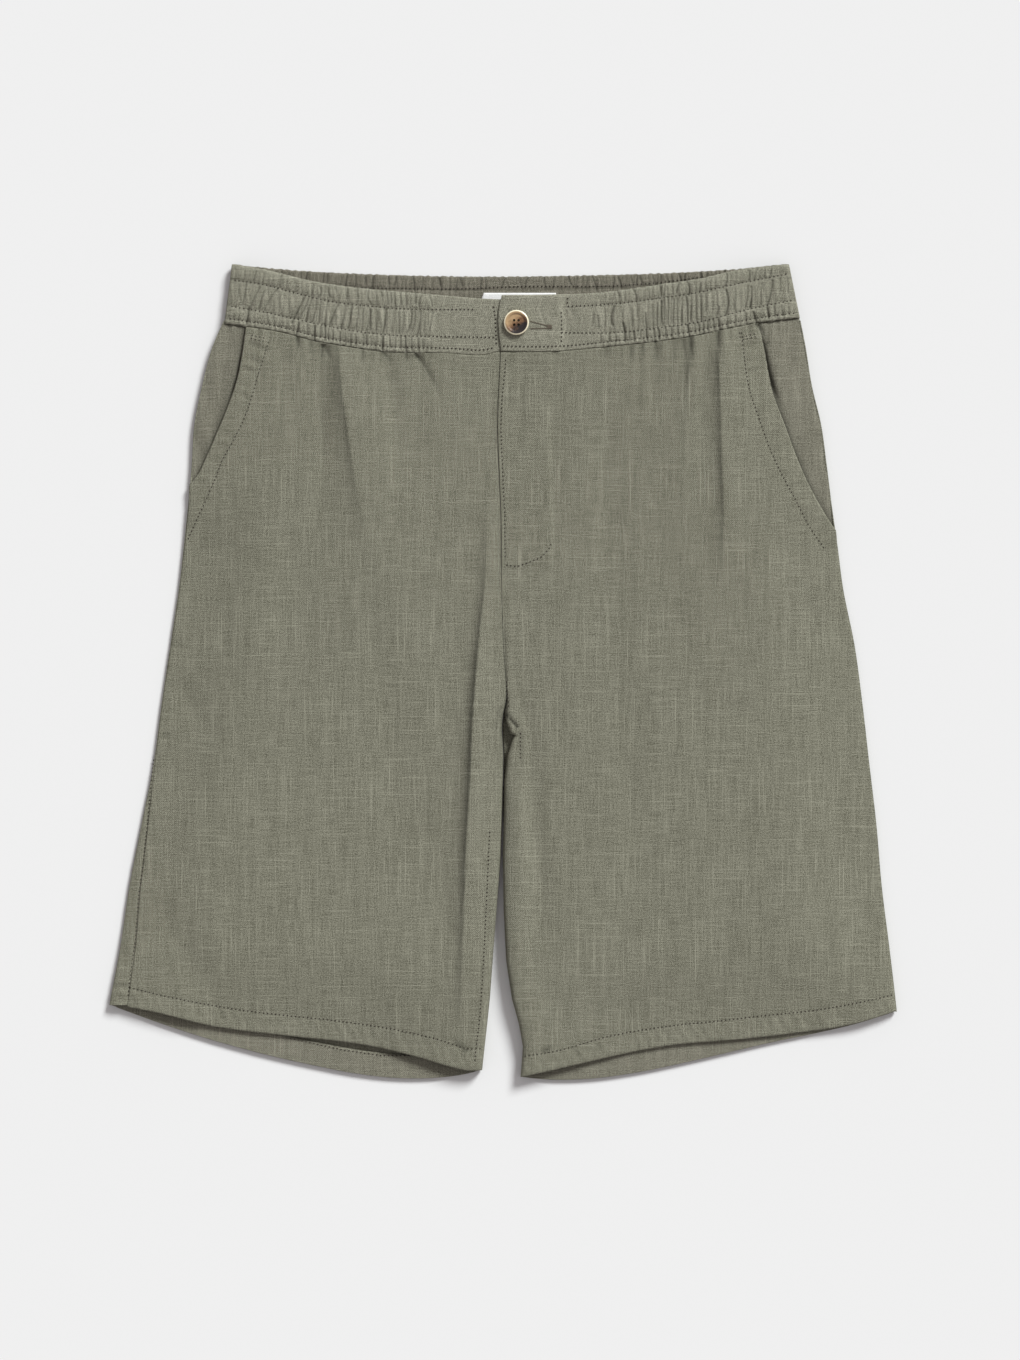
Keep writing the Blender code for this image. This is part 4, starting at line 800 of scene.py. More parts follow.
def front_distances(leg, side, y):
    """Distances of the front's columns in from its outer edge, bunched on both rounded edges.

    They start at the pocket's slanted edge, or below it where the back's strip ends.
    """
    edge = FRONT_EDGE
    roll = ROLL_SHARE * smooth(TUBE, y, 3)
    pocket = leg["inward"] * (smooth(leg["pocket"], y) - side)
    start = np.where(y > pocket_end(leg), pocket, 0.0)
    start = np.maximum(start, SIDE_START * leg["inward"] * (smooth(SIDES, y, leg["column"]) - side))
    start = np.maximum(start, straight(WRAP, y, leg["column"]) + GAP)
    width = leg["inward"] * (straight(INNER, y, leg["column"]) - side) - GAP / 2 * (1.0 - openness(y))
    share = np.arange(edge) / edge
    outer_angle = angle_of(start[:, :edge], roll[:, :edge])
    outer_angle = outer_angle + (math.pi / 2 - outer_angle) * share
    outer = roll[:, :edge] * bunched(outer_angle)
    near = roll[:, edge:-edge]
    middle = near + (width[:, edge:-edge] - INNER_ROLL - near) * np.linspace(0.0, 1.0, FRONT_MIDDLE + 1)
    inner_angle = math.pi / 2 * (1.0 - (share + 1.0 / edge))
    inner = width[:, -edge:] - INNER_ROLL * bunched(inner_angle)
    return np.concatenate([outer, middle, inner], axis=1)


def back_distances(leg, side, y):
    """Distances of the back's columns from the outer to the inner edge, bunched where it is rounded."""
    edge = BACK_EDGE
    width = leg["inward"] * (back_inner(leg, y) - side) - GAP / 2 * (1.0 - openness(y))
    angle = math.pi / 2 * np.arange(edge) / edge
    outer = BACK_ROLL * (1.0 - np.cos(angle)) + 0.0 * y[:, :edge]
    share = np.linspace(0.0, 1.0, BACK_MIDDLE + 1)
    middle = BACK_ROLL + (width[:, edge:-edge] - 2.0 * BACK_ROLL) * share
    inner = width[:, -edge:] - BACK_ROLL * (1.0 - np.cos(angle[::-1]))
    return np.concatenate([outer, middle, inner], axis=1)


def levels(leg, distances, top, hem, shares, columns):
    """Levels of a panel's grid points: each column is divided between the top seam and the hem below it.

    The seams are tables over X, so a few rounds find the point where each column meets them.
    """
    ends = []
    for table, guess in ((top, WAIST_GUESS), (hem, HEM_GUESS)):
        y = np.full((1, columns), guess)
        for _ in range(LEVEL_ROUNDS):
            side = side_edge(leg, y)
            x = side + leg["inward"] * distances(leg, side, y)
            y = smooth(table, x)
        ends.append(y)
    upper_end = ends[0] - SEAM_GAP
    return upper_end + (ends[1] - upper_end) * shares[:, None]


# ---------------------------------------------------------------- relief of the cloth


def plain_centre(x):
    """1 over the plain middle of the waist, 0 where elastic gathers the cloth."""
    return ease(x, *PLAIN_RIGHT) * ease(x, *PLAIN_LEFT)


def sewn(across, at, row):
    """Groove of a row of stitching, and the puckers beside it in the cloth that it holds down."""
    width, reach, height, seed, wave = row
    puckers = height * ripple(at, 0.0, seed, wave) * bell(across + PUCKER_PLACE, reach)
    return puckers - GROOVE_DEPTH * bell(across, width)


def front_relief(leg, x, y):
    """Height and painted shade on a front panel: folds, creases, gathers below the waist, and sewn rows."""
    long_height, long_dark = long_folds(x, y)
    hollow, _ = straight_folds(HOLLOWS, x, y, False, HOLLOW_FADES)
    crease, crease_dark = straight_folds(CREASES, x, y, True, CREASE_FADES)
    total = long_height + hollow + crease
    dark = np.maximum(long_dark, crease_dark)
    if leg["inward"] < 0.0:
        inseam = x - straight(INNER, y, 2)
        lift = straight(INSEAM_LIFT, y)
        total = total + lift * ease(inseam, INSEAM_WIDTH, 0.0)
        # shade painted beside the lifted inseam
        dark = np.maximum(dark, INSEAM_SHADE * lift * ease(inseam, *INSEAM_SHADE_WIDTH))
    below = np.maximum(smooth(leg["seam"], x) - y, 0.0)
    gathered = 1.0 - plain_centre(x)
    total = total + waves(x, y, *GATHERS) * gathered * np.exp(-below / GATHERS_LENGTH)
    soft = (SOFT_GATHERS_LEAST + (1.0 - SOFT_GATHERS_LEAST) * gathered) * np.exp(-below / SOFT_GATHERS_LENGTH)
    total = total + waves(x, y, *SOFT_GATHERS) * soft
    for swell in SWELLS:
        total = total + waves(x, y, *swell)
    pocket = leg["inward"] * (x - smooth(leg["pocket_stitch"], y))
    pocket_level = leg["pocket_stitch"][0, 0]
    beside = ease(y, pocket_level + POCKET_ROW_START[0], pocket_level + POCKET_ROW_START[1])
    way_x, way_y = POCKET_ROW_WAY
    total = total + beside * sewn(pocket, way_y * y + way_x * leg["inward"] * x, POCKET_ROW)
    # shade is painted along the sunken rows of stitching
    rows = beside * bell(pocket, ROW_WIDTH)
    hem = y - smooth(leg["hem_stitch"], x)
    total = total + sewn(hem, x + HEM_ROW_LEAN * hem, HEM_ROW)
    rows = np.maximum(rows, bell(hem, ROW_WIDTH))
    if leg["inward"] > 0.0:
        seam = x - smooth(SIDE_SEAM_STITCH, y)
        beside = ease(y, *SIDE_SEAM_TOP)
        total = total + beside * sewn(seam, y, SIDE_ROW)
        rows = np.maximum(rows, beside * bell(seam, ROW_WIDTH))
    sag = straight(leg["sag"], x) * ease(y - smooth(leg["hem_front"], x), SAG_LENGTH, 0.0)
    return total - sag, np.maximum(dark, ROW_SHADE * rows)


def front_point(leg, x, y):
    """Point of the front's outer face over a place of the table."""
    side = side_edge(leg, y)
    return upper(leg, side, leg["inward"] * (x - side), y, 0.0, front_relief(leg, x, y)[0])


def edge_drop(distance, width, drop):
    """How far a face sinks where its cloth rolls over an edge."""
    return drop * (1.0 - rounding(distance, width))


# ---------------------------------------------------------------- meshes


def shell(name, outer, inner, material, slot, nodes, dark=None):
    """Closed wall between two grids of points in mm, in place of solids: both faces and the rim between them.

    Its texture map gives the distance round each row and along each column, in mm. The shade painted into the
    folds of its outer face is kept as an attribute.
    """
    rows, columns = outer.shape[:2]
    count = rows * columns
    points = np.concatenate([outer.reshape(-1, 3), inner.reshape(-1, 3)]) * MM
    index = np.arange(count).reshape(rows, columns)
    quads = np.stack([index[:-1, :-1], index[:-1, 1:], index[1:, 1:], index[1:, :-1]], axis=-1).reshape(-1, 4)
    loop = np.concatenate([index[0, :-1], index[:-1, -1], index[-1, :0:-1], index[:0:-1, 0]])
    following = np.roll(loop, -1)
    rim = np.stack([following, loop, loop + count, following + count], axis=-1)
    faces = np.concatenate([quads, quads[:, ::-1] + count, rim])
    i = rows // 2
    j = columns // 2
    normal = np.cross(outer[i, j + 1] - outer[i, j], outer[i + 1, j] - outer[i, j])
    if (normal[2] > 0.0) != (outer[i, j, 2] > inner[i, j, 2]):
        faces = faces[:, ::-1]
    piece = mesh_piece(name, points, faces, material, nodes, texture_map(outer))
    shade = np.zeros(2 * count) if dark is None else np.concatenate([dark.ravel(), np.zeros(count)])
    # shade painted into the folds, held by the outer face's points only
    piece.data.attributes.new("painted_fold_shade", "FLOAT", "POINT").data.foreach_set("value", shade.astype(np.float32))
    return piece


def texture_map(grid):
    """Place on the cloth in mm: distance across each row, counted from X in its middle, and Y."""
    across = np.diff(grid, axis=1)
    step = np.hypot(across[..., 0], across[..., 2]) * np.sign(across[..., 0])
    u = np.concatenate([np.zeros((len(grid), 1)), np.cumsum(step, axis=1)], axis=1)
    middle = grid.shape[1] // 2
    u = u - u[:, middle:middle + 1] + grid[:, middle:middle + 1, 0]
    return np.stack([u, grid[..., 1]], axis=-1).reshape(-1, 2)


def mesh_piece(name, points, faces, material, nodes=(), texture=None):
    """Object of points in metres and faces of equal size, that rides on the body and stands for its nodes."""
    sides = faces.shape[1]
    mesh = bpy.data.meshes.new(name)
    mesh.vertices.add(len(points))
    mesh.vertices.foreach_set("co", points.astype(np.float32).ravel())
    mesh.loops.add(faces.size)
    mesh.loops.foreach_set("vertex_index", faces.astype(np.int32).ravel())
    mesh.polygons.add(len(faces))
    mesh.polygons.foreach_set("loop_start", np.arange(0, faces.size, sides, dtype=np.int32))
    mesh.update(calc_edges=True)
    mesh.shade_smooth()
    if texture is not None:
        layer = mesh.uv_layers.new(name="cloth")
        corners = faces.ravel() % len(texture)
        layer.data.foreach_set("uv", texture[corners].astype(np.float32).ravel())
    mesh.validate()
    piece = bpy.data.objects.new(name, mesh)
    bpy.context.scene.collection.objects.link(piece)
    mesh.materials.append(material)
    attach(piece, "root")
    if nodes:
        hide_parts(*nodes)
    return piece


def bars(name, starts, ends, radii, material):
    """Rounded bars from start to end points in mm, such as stitches and turns of thread, in one mesh.

    Every bar has four rings of six points round its axis, the outer two drawn in, and is closed at both ends.
    """
    axis = ends - starts
    axis = axis / np.linalg.norm(axis, axis=1, keepdims=True)
    across = np.cross((0.0, 0.0, 1.0), axis)
    across = across / np.linalg.norm(across, axis=1, keepdims=True)
    rise = np.cross(axis, across)
    k = np.arange(6)
    turn = (2 * math.pi * k / 6)[:, None]
    shares = np.array((0.0, 0.2, 0.8, 1.0))
    widths = np.array((0.35, 1.0, 1.0, 0.35)) * radii[:, None]
    ring = across[:, None, None] * np.cos(turn) + rise[:, None, None] * np.sin(turn)
    centre = starts[:, None] + (ends - starts)[:, None] * shares[None, :, None]
    points = centre[:, :, None] + ring * widths[:, :, None, None]
    near = np.stack([k, (k + 1) % 6], axis=-1)
    side = np.concatenate([near, near[:, ::-1] + 6], axis=-1)
    tube = np.concatenate([side, side + 6, side + 12])
    caps = np.array([(2, 1, 0, 5), (5, 4, 3, 2), (18, 19, 20, 23), (20, 21, 22, 23)])
    faces = np.concatenate([tube, caps])
    faces = faces[None] + (24 * np.arange(len(starts)))[:, None, None]
    return mesh_piece(name, points.reshape(-1, 3) * MM, faces.reshape(-1, 4), material)


def along(path, pitch):
    """Points in even steps along a path of X and Y."""
    length = np.concatenate([[0.0], np.cumsum(np.hypot(*np.diff(path, axis=0).T))])
    at = np.arange(pitch / 2, length[-1], pitch)
    return np.stack([np.interp(at, length, path[:, 0]), np.interp(at, length, path[:, 1])], axis=-1)


def curve(table, low, high, swapped=False):
    """Fine path along a table's curve between two values of its first column."""
    at = np.linspace(low, high, 200)
    value = smooth(table, at)
    return np.stack([value, at] if swapped else [at, value], axis=-1)


def thread_turns(surface, starts, ends, radius):
    """Starts, ends and radii of turns of thread that lie on a surface, from their two ends in X and Y."""
    laid = [np.column_stack([x, y, surface(x, y) + STITCH_LIFT]) for x, y in (starts.T, ends.T)]
    return *laid, np.full(len(starts), radius)


def stitch_row(path, surface, radius=FINE_STITCH_RADIUS):
    """Starts, ends and radii of the stitches of one row, lying on a surface in even steps along a path."""
    at = along(path, STITCH_PITCH)
    ahead = np.diff(at, axis=0)
    ahead = np.concatenate([ahead, ahead[-1:]])
    ahead = ahead / np.linalg.norm(ahead, axis=1, keepdims=True) * STITCH_LENGTH / 2
    return thread_turns(surface, at - ahead, at + ahead, radius)


def joined(rows):
    """Starts, ends and radii of several rows of stitches, one row after the other."""
    return [np.concatenate(part) for part in zip(*rows)]


# ---------------------------------------------------------------- finishes


class Value:
    """Number socket of a shader that takes part in sums and products, with numbers or other sockets."""

    def __init__(self, graph, socket):
        self.graph = graph
        self.socket = socket

    def math(self, operation, *others):
        """Result of a math node of which this is the first input."""
        return self.graph.math(operation, self, *others)

    def __add__(self, other):
        return self.math("ADD", other)

    def __mul__(self, other):
        return self.math("MULTIPLY", other)

    def __sub__(self, other):
        return self.math("SUBTRACT", other)

    def __rsub__(self, other):
        return self.graph.math("SUBTRACT", other, self)

    __radd__ = __add__
    __rmul__ = __mul__


class Graph:
    """Node tree of one material."""

    def __init__(self, name):
        self.material = bpy.data.materials.new(name)
        self.material.use_nodes = True
        self.tree = self.material.node_tree
        self.surface = self.tree.nodes["Principled BSDF"]

    def node(self, kind, inputs=(), **settings):
        """Node of a kind with its settings, and its inputs linked or set by name or number."""
        made = self.tree.nodes.new(kind)
        for key, value in settings.items():
            setattr(made, key, value)
        for key, value in dict(inputs).items():
            self.feed(made.inputs[key], value)
        return made

    def feed(self, socket, value):
        """Link a socket to a value, or set it."""
        if isinstance(value, Value):
            self.tree.links.new(value.socket, socket)
        elif isinstance(value, bpy.types.NodeSocket):
            self.tree.links.new(value, socket)
        else:
            socket.default_value = value

    def math(self, operation, *values):
        """Result of a math node with these inputs."""
        made = self.node("ShaderNodeMath", dict(enumerate(values)), operation=operation)
        return Value(self, made.outputs[0])

    def out(self, made, name=0):
        """One output of a node, as a value."""
        return Value(self, made.outputs[name])

    def mix(self, share, low, high):
        """Colour between two colours."""
        made = self.node("ShaderNodeMix", {"Factor": share}, data_type="RGBA", clamp_factor=True)
        self.feed(made.inputs[6], low)
        self.feed(made.inputs[7], high)
        return made.outputs[2]

    def noise(self, x, y, seed, detail=1.0):
        """Noise over two numbers, about 0 to 1."""
        place = self.node("ShaderNodeCombineXYZ", {0: x, 1: y, 2: seed})
        made = self.node(
            "ShaderNodeTexNoise",
            {"Vector": place.outputs[0], "Scale": 1.0, "Detail": detail, "Roughness": 0.6},
            noise_dimensions="3D",
        )
        return Value(self, made.outputs[0])


def linen(name, dark, light, seed=0.0):
    """Plain weave of slubby yarns in the texture map's mm.

    Noise drawn out along the threads gives unlike yarns side by side both ways, long streaks and, above a
    limit, light slubs. A product of two sines gives the crossings, and shade painted into the folds darkens
    them by its attribute.
    """
    g = Graph(name)
    where = g.node("ShaderNodeSeparateXYZ", {0: g.node("ShaderNodeUVMap", uv_map="cloth").outputs[0]})
    u = g.out(where, 0)
    v = g.out(where, 1)
    warp = g.noise(u * 1.5, v * 0.07, 3.0 + seed)
    weft = g.noise(u * 0.07, v * 1.5, 17.0 + seed)
    grain = g.noise(u * 1.3, v * 1.3, 31.0 + seed)
    streaks = g.noise(u * 0.22, v * 0.014, 47.0 + seed, 2.0)
    over = (u * (2 * math.pi / WEAVE)).math("SINE") * (v * (2 * math.pi / WEAVE)).math("SINE")
    slubs = (g.noise(u * 1.45, v * 0.018, 61.0 + seed) - SLUB_LIMIT).math("MAXIMUM", 0.0) * 3.4
    slubs = slubs + (g.noise(u * 0.022, v * 1.45, 73.0 + seed) - SLUB_LIMIT).math("MAXIMUM", 0.0) * 3.0
    yarns = (warp - 0.5) * 0.6 + (weft - 0.5) * 0.6 + (grain - 0.5) * 2.1 + slubs
    shade = 0.47 + yarns + (streaks - 0.5) * 0.35 + over * 0.2
    painted_fold_shade = g.out(g.node("ShaderNodeAttribute", attribute_name="painted_fold_shade", attribute_type="GEOMETRY"), "Fac")
    cloth = g.mix(shade, (*dark, 1.0), (*light, 1.0))
    # painted shade: in folds and creases the attribute mixes the cloth towards a dark tone of its yarns
    painted_shade_colour = tuple(PAINTED_SHADE_TONE * c for c in dark)
    g.feed(g.surface.inputs["Base Color"], g.mix(painted_fold_shade, cloth, (*painted_shade_colour, 1.0)))
    g.feed(g.surface.inputs["Roughness"], 0.96 - shade * 0.12)
    height = over * 0.5 + warp + weft + grain
    bump = g.node("ShaderNodeBump", {"Strength": 0.5, "Distance": 0.00022, "Height": height})
    g.feed(g.surface.inputs["Normal"], bump.outputs[0])
    g.surface.inputs["IOR"].default_value = 1.35
    return g.material


def thread(name, colour):
    """Twisted sewing thread: the sine of X plus Y gives fine slanting stripes."""
    g = Graph(name)
    where = g.node("ShaderNodeSeparateXYZ", {0: g.node("ShaderNodeTexCoord").outputs["Object"]})
    twist = ((g.out(where, 0) + g.out(where, 1)) * THREAD_TWIST).math("SINE") * 0.5 + 0.5
    dark = tuple(0.7 * c for c in colour)
    g.feed(g.surface.inputs["Base Color"], g.mix(twist, (*dark, 1.0), (*colour, 1.0)))
    g.surface.inputs["Roughness"].default_value = 0.8
    bump = g.node("ShaderNodeBump", {"Strength": 0.4, "Distance": 0.0001, "Height": twist})
    g.feed(g.surface.inputs["Normal"], bump.outputs[0])
    return g.material


def horn(name):
    """Polished horn, marbled, in an ivory rim; a ramp from tan at the upper side to near black at the lower
    left paints its light and shade.
    """
    g = Graph(name)
    where = g.node("ShaderNodeSeparateXYZ", {0: g.node("ShaderNodeTexCoord").outputs["Object"]})
    x = g.out(where, 0) * (1.0 / MM) - BUTTON_CENTRE[0]
    y = g.out(where, 1) * (1.0 / MM) - BUTTON_CENTRE[1]
    radius = (x * x + y * y).math("SQRT")
    marble = g.noise(x * 0.22 + y * 0.1, y * 0.25, 5.0, 4.0)
    grain = g.noise(x * 0.9 + y * 0.3, y * 0.2, 9.0, 3.0)
    # painted light and shade: the ramp in x and y lightens the upper side and darkens the lower left; the
    # noise is the horn's own marbling
    side = (x * 0.07 - y * 0.11 + 0.48) + (marble - 0.5) * 1.5 + (grain - 0.5) * 0.4
    tan = g.mix(side * 2.0, HORN_TAN, HORN_BROWN)
    face = g.mix(side * 2.0 - 1.0, tan, HORN_BLACK)
    rim = (radius - (BUTTON_DIAMETER / 2 - BUTTON_RIM)) * 3.0
    pale = g.mix(grain, IVORY, IVORY_GRAIN)
    g.feed(g.surface.inputs["Base Color"], g.mix(rim, face, pale))
    g.feed(g.surface.inputs["Roughness"], 0.26 + grain * 0.15)
    return g.material


LINEN = linen("linen_cloth", (0.076, 0.0735, 0.05), (0.299, 0.2945, 0.2275))
LINEN_BAND = linen("linen_band", (0.092, 0.09, 0.064), (0.358, 0.35, 0.276), 5.0)
# the back band's inner face: a darker copy of the linen, with the shade inside the back of the waist painted
# into it
LINEN_BACK_BAND_PAINTED_SHADE = linen("linen_back_band_painted_shade", (0.072, 0.067, 0.048), (0.275, 0.258, 0.203), 7.0)
LINEN_INSIDE = linen("linen_inside", (0.085, 0.081, 0.058), (0.29, 0.28, 0.22), 9.0)
LABEL_WHITE = linen("label_white", (0.72, 0.72, 0.71), (0.9, 0.9, 0.89), 13.0)
THREAD = thread("sewing_thread", (0.03, 0.02, 0.013))
THREAD_OLIVE = thread("buttonhole_thread", (0.15, 0.125, 0.09))
HORN = horn("horn")


# ---------------------------------------------------------------- panels


def row_shares(length, near_waist, middle, near_hem):
    """Shares of a panel's length at its rows.

    They are fine near the waist, at the crotch and near the hem, and finest where the edge rolls over.
    """
    at = np.concatenate([
        WAIST_EDGE_ROWS,
        np.arange(*WAIST_ROWS, near_waist),
        np.arange(WAIST_ROWS[1] + 1.0, CROTCH_ROWS[0], middle),
        np.arange(*CROTCH_ROWS, middle / CROTCH_CLOSER),
        np.arange(CROTCH_ROWS[1], length - HEM_ROWS[0], middle),
        np.arange(length - HEM_ROWS[0], length - HEM_ROWS[1], near_hem),
        [length - above for above in HEM_EDGE_ROWS],
    ])
    return at / length


def front_panel(leg):
    """Front of one leg and half the body, and the cloth turned up inside its hem.

    The panel is the tube's front at two depths, with its edges rolled down where they show.
    """
    columns = 2 * FRONT_EDGE + FRONT_MIDDLE + 1
    y = levels(leg, front_distances, leg["seam"], leg["hem_front"], row_shares(*FRONT_STEPS), columns)
    side = side_edge(leg, y)
    distance = front_distances(leg, side, y)
    relief, dark = front_relief(leg, side + leg["inward"] * distance, y)
    outer = upper(leg, side, distance, y, 0.0, relief)
    inner = upper(leg, side, distance, y, CLOTH, relief)
    in_pocket = ease(y, pocket_end(leg), pocket_end(leg) + POCKET_ROLL_START)
    roll = edge_drop(y - y[-1:], *HEM_ROLL) + in_pocket * edge_drop(distance - distance[:, :1], *POCKET_ROLL)
    outer[..., 2] -= roll + edge_drop(y[:1] - y, *SEAM_ROLL)
    inner[..., 2] += np.minimum(roll, FRONT_FOLLOW[0]) * FRONT_FOLLOW[1]
    name = "front_cloth_" + leg["name"]
    hem = "hem_front_" + leg["name"]
    cloth = shell(name, outer, inner, LINEN, "linen", ["front_" + leg["name"]], dark)
    parts = [part[TURN_UP_STRIP] for part in (side, distance, y)]
    relief = relief[TURN_UP_STRIP]
    outer = upper(leg, *parts, LAYER, relief)
    inner = upper(leg, *parts, LAYER + TURN_UP, relief)
    cloth = shell("front_turn_up_" + leg["name"], outer, inner, LINEN_INSIDE, "linen_inside", [hem])


def back_panel(leg):
    """Back of one leg and half the body, and the cloth turned up inside its hem.

    It lies flat on the table, and at the outer side a strip of it comes round onto the front.
    """
    columns = 2 * BACK_EDGE + BACK_MIDDLE + 1
    top = BACK_BAND_TOP - (0.0, BAND_HEIGHT)
    y = levels(leg, back_distances, top, leg["hem_back"], row_shares(*BACK_STEPS), columns)
    side = smooth(SIDES, y, leg["column"])
    distance = back_distances(leg, side, y)
    strip_y = y[:, :1] + np.zeros((1, BACK_WRAP))
    strip_side = side[:, :1]
    roll = ROLL_SHARE * smooth(TUBE, strip_y, 3)
    last = angle_of(straight(WRAP, strip_y, leg["column"]), roll)
    wrap = roll * bunched(last * (1.0 - np.arange(BACK_WRAP) / BACK_WRAP))
    relief, _ = front_relief(leg, strip_side + leg["inward"] * wrap, strip_y)
    faces = []
    for depth in (0.0, CLOTH):
        over = upper(leg, strip_side, wrap, strip_y, depth, relief)
        faces.append(np.concatenate([over, lower(leg, side, distance, y, depth)], axis=1))
    solids = ["back_" + leg["name"]] + ["back_side_right"] * (leg["inward"] > 0.0)
    name = "back_cloth_" + leg["name"]
    cloth = shell(name, *faces, LINEN, "linen", solids)
    parts = [part[TURN_UP_STRIP] for part in (side, distance, y)]
    outer = lower(leg, *parts, LAYER + TURN_UP)
    inner = lower(leg, *parts, LAYER)
    hem = "hem_back_" + leg["name"]
    cloth = shell("back_turn_up_" + leg["name"], outer, inner, LINEN_INSIDE, "linen_inside", [hem])


def pocket_facing(leg):
    """Facing in the slanted pocket: from the side seam to a little way under the front panel.

    Beside the pocket's edge it sinks into a slot where the edge stands open, and shade is painted on it in
    the slot and close to the edge.
    """
    rows, columns = FACING_GRID
    steps = 1.0 - np.cos(np.linspace(0.12, math.pi / 2, columns))
    end = pocket_end(leg) + FACING_RISE
    bottom = numbers((-300, end), (300, end))

    def distances(leg, side, y):
        """Distances of the facing's columns in from the side, close together near it."""
        pocket = leg["inward"] * (smooth(leg["pocket"], y) - side)
        return FACING_INSET + (pocket + POCKET_UNDERLAP) * (steps - steps[0])

    y = levels(leg, distances, leg["seam"], bottom, np.linspace(0.0, 1.0, rows), columns)
    side = side_edge(leg, y)
    distance = distances(leg, side, y)
    x = side + leg["inward"] * distance
    relief, shade = front_relief(leg, x, y)
    beside = -leg["inward"] * (x - smooth(leg["pocket"], y))
    high, low, slot_depth, slot_width = leg["pocket_slot"]
    slot = ease(y, low, low + SLOT_FADES[0]) * ease(y, high, high + SLOT_FADES[1])
    slot = slot * bell(beside - SLOT_PLACE, slot_width)
    relief = relief - slot_depth * slot + waves(x, y, *FACING_WAVES)
    depth = LAYER + POCKET_SLACK
    outer = upper(leg, side, distance, y, depth, relief)
    outer[..., 2] -= edge_drop(y[:1] - y, *SEAM_ROLL)
    inner = upper(leg, side, distance, y, depth + CLOTH, relief)
    dark = FACING_SHADE * np.exp(-beside.clip(0.0) / FACING_SHADE_WIDTH)
    dark = np.maximum(SLOT_SHADE * slot, dark) * ease(beside, -1.0, 0.0)
    dark = np.maximum(dark, FACING_FOLD_SHADE * shade)
    name = "pocket_facing_cloth_" + leg["name"]
    solid = "pocket_facing_" + leg["name"]
    cloth = shell(name, outer, inner, LINEN_INSIDE, "linen_inside", [solid], dark)
    "front_cloth_" + leg["name"]


# ---------------------------------------------------------------- waistband


def band_height(leg, x):
    """Level of the front band's top edge, and its height down to the gap at the waist seam."""
    high = smooth(leg["band_top"], x)
    return high, high - smooth(leg["seam"], x) - WAIST_GAP / 2


def band_end(leg, share):
    """X of the band's end at a share of its height."""
    high, low = leg["band_end"]
    return high + (low - high) * share


def stitching_shares(leg, x):
    """Shares of the band's height at its edges and its three rows of stitching."""
    high, size = band_height(leg, x)
    first = (high - smooth(leg["row_high"], x)) / size
    second = (high - smooth(leg["row_middle"], x)) / size
    return [0.0 * x, first, second, 0.0 * x + ROW_LOW, 0.0 * x + 1.0]


def band_relief(leg, x, y, share):
    """Height and painted shade of the gathers: full between the rows of stitching, creased, flat in the
    middle.
    """
    elastic = 1.0 - plain_centre(x)
    rows = stitching_shares(leg, x)
    full = np.zeros(np.shape(share))
    for low, high in zip(rows[:-1], rows[1:]):
        inside = np.clip((share - low) / (high - low), 0.0, 1.0)
        size = NARROW_FULLNESS + (1.0 - NARROW_FULLNESS) * (high - low > NARROW_FIELD)
        full = full + np.sin(math.pi * inside).clip(0.0) ** FULL_POWER * size
    crease, dark = straight_folds(leg["creases"], x, y, True, BAND_CREASE_FADES)
    gather = waves(x, y, *BAND_GATHERS[0]) + waves(x, y, *BAND_GATHERS[1])
    ridge = waves(x, y, *WELT_GATHERS) * ease(share, ROW_LOW - 0.02, ROW_LOW + 0.02)
    total = elastic * ((0.3 + 0.7 * full) * gather + ridge) + crease
    first, second, last = (bell(share - row, width) for row, width in zip(rows[1:4], ROW_DARK_WIDTHS))
    stitched = np.maximum(first * np.maximum(elastic, 0.3), np.maximum(second, last))
    return total + (0.1 + 1.05 * elastic) * (full - 0.2), np.maximum(dark, ROW_DARK * elastic * stitched)


def rounded_end(leg, share, x, level):
    """Height of a face of the band that turns down to the side seam at the band's end."""
    distance = leg["inward"] * (x - band_end(leg, share))
    seam = BAND_EDGE + GAP / 2
    return seam + (level - seam) * rounding(distance, ROLL_SHARE * BAND_ROLL, EDGE_POWER)


def band_outer(leg, x, y):
    """Height and painted shade of the front waistband's outer face over a place of the table."""
    high, size = band_height(leg, x)
    share = (high - y) / size
    gathered = BAND_CROWN - GATHER_DEPTH
    if leg["inward"] > 0.0:
        plain = BAND_INSIDE + BAND_FLAT
        elastic = ease(x, ELASTIC_END_RIGHT + 6.0, ELASTIC_END_RIGHT)
    else:
        plain = FLAP_TOP
        elastic = ease(x, ELASTIC_END_LEFT - 6.0, ELASTIC_END_LEFT)
    relief, dark = band_relief(leg, x, y, share)
    level = plain + (gathered - plain) * elastic
    level = level - thinning(leg["inward"] * (x - band_end(leg, share)), BAND_LEVEL)
    return rounded_end(leg, share, x, level + relief), dark


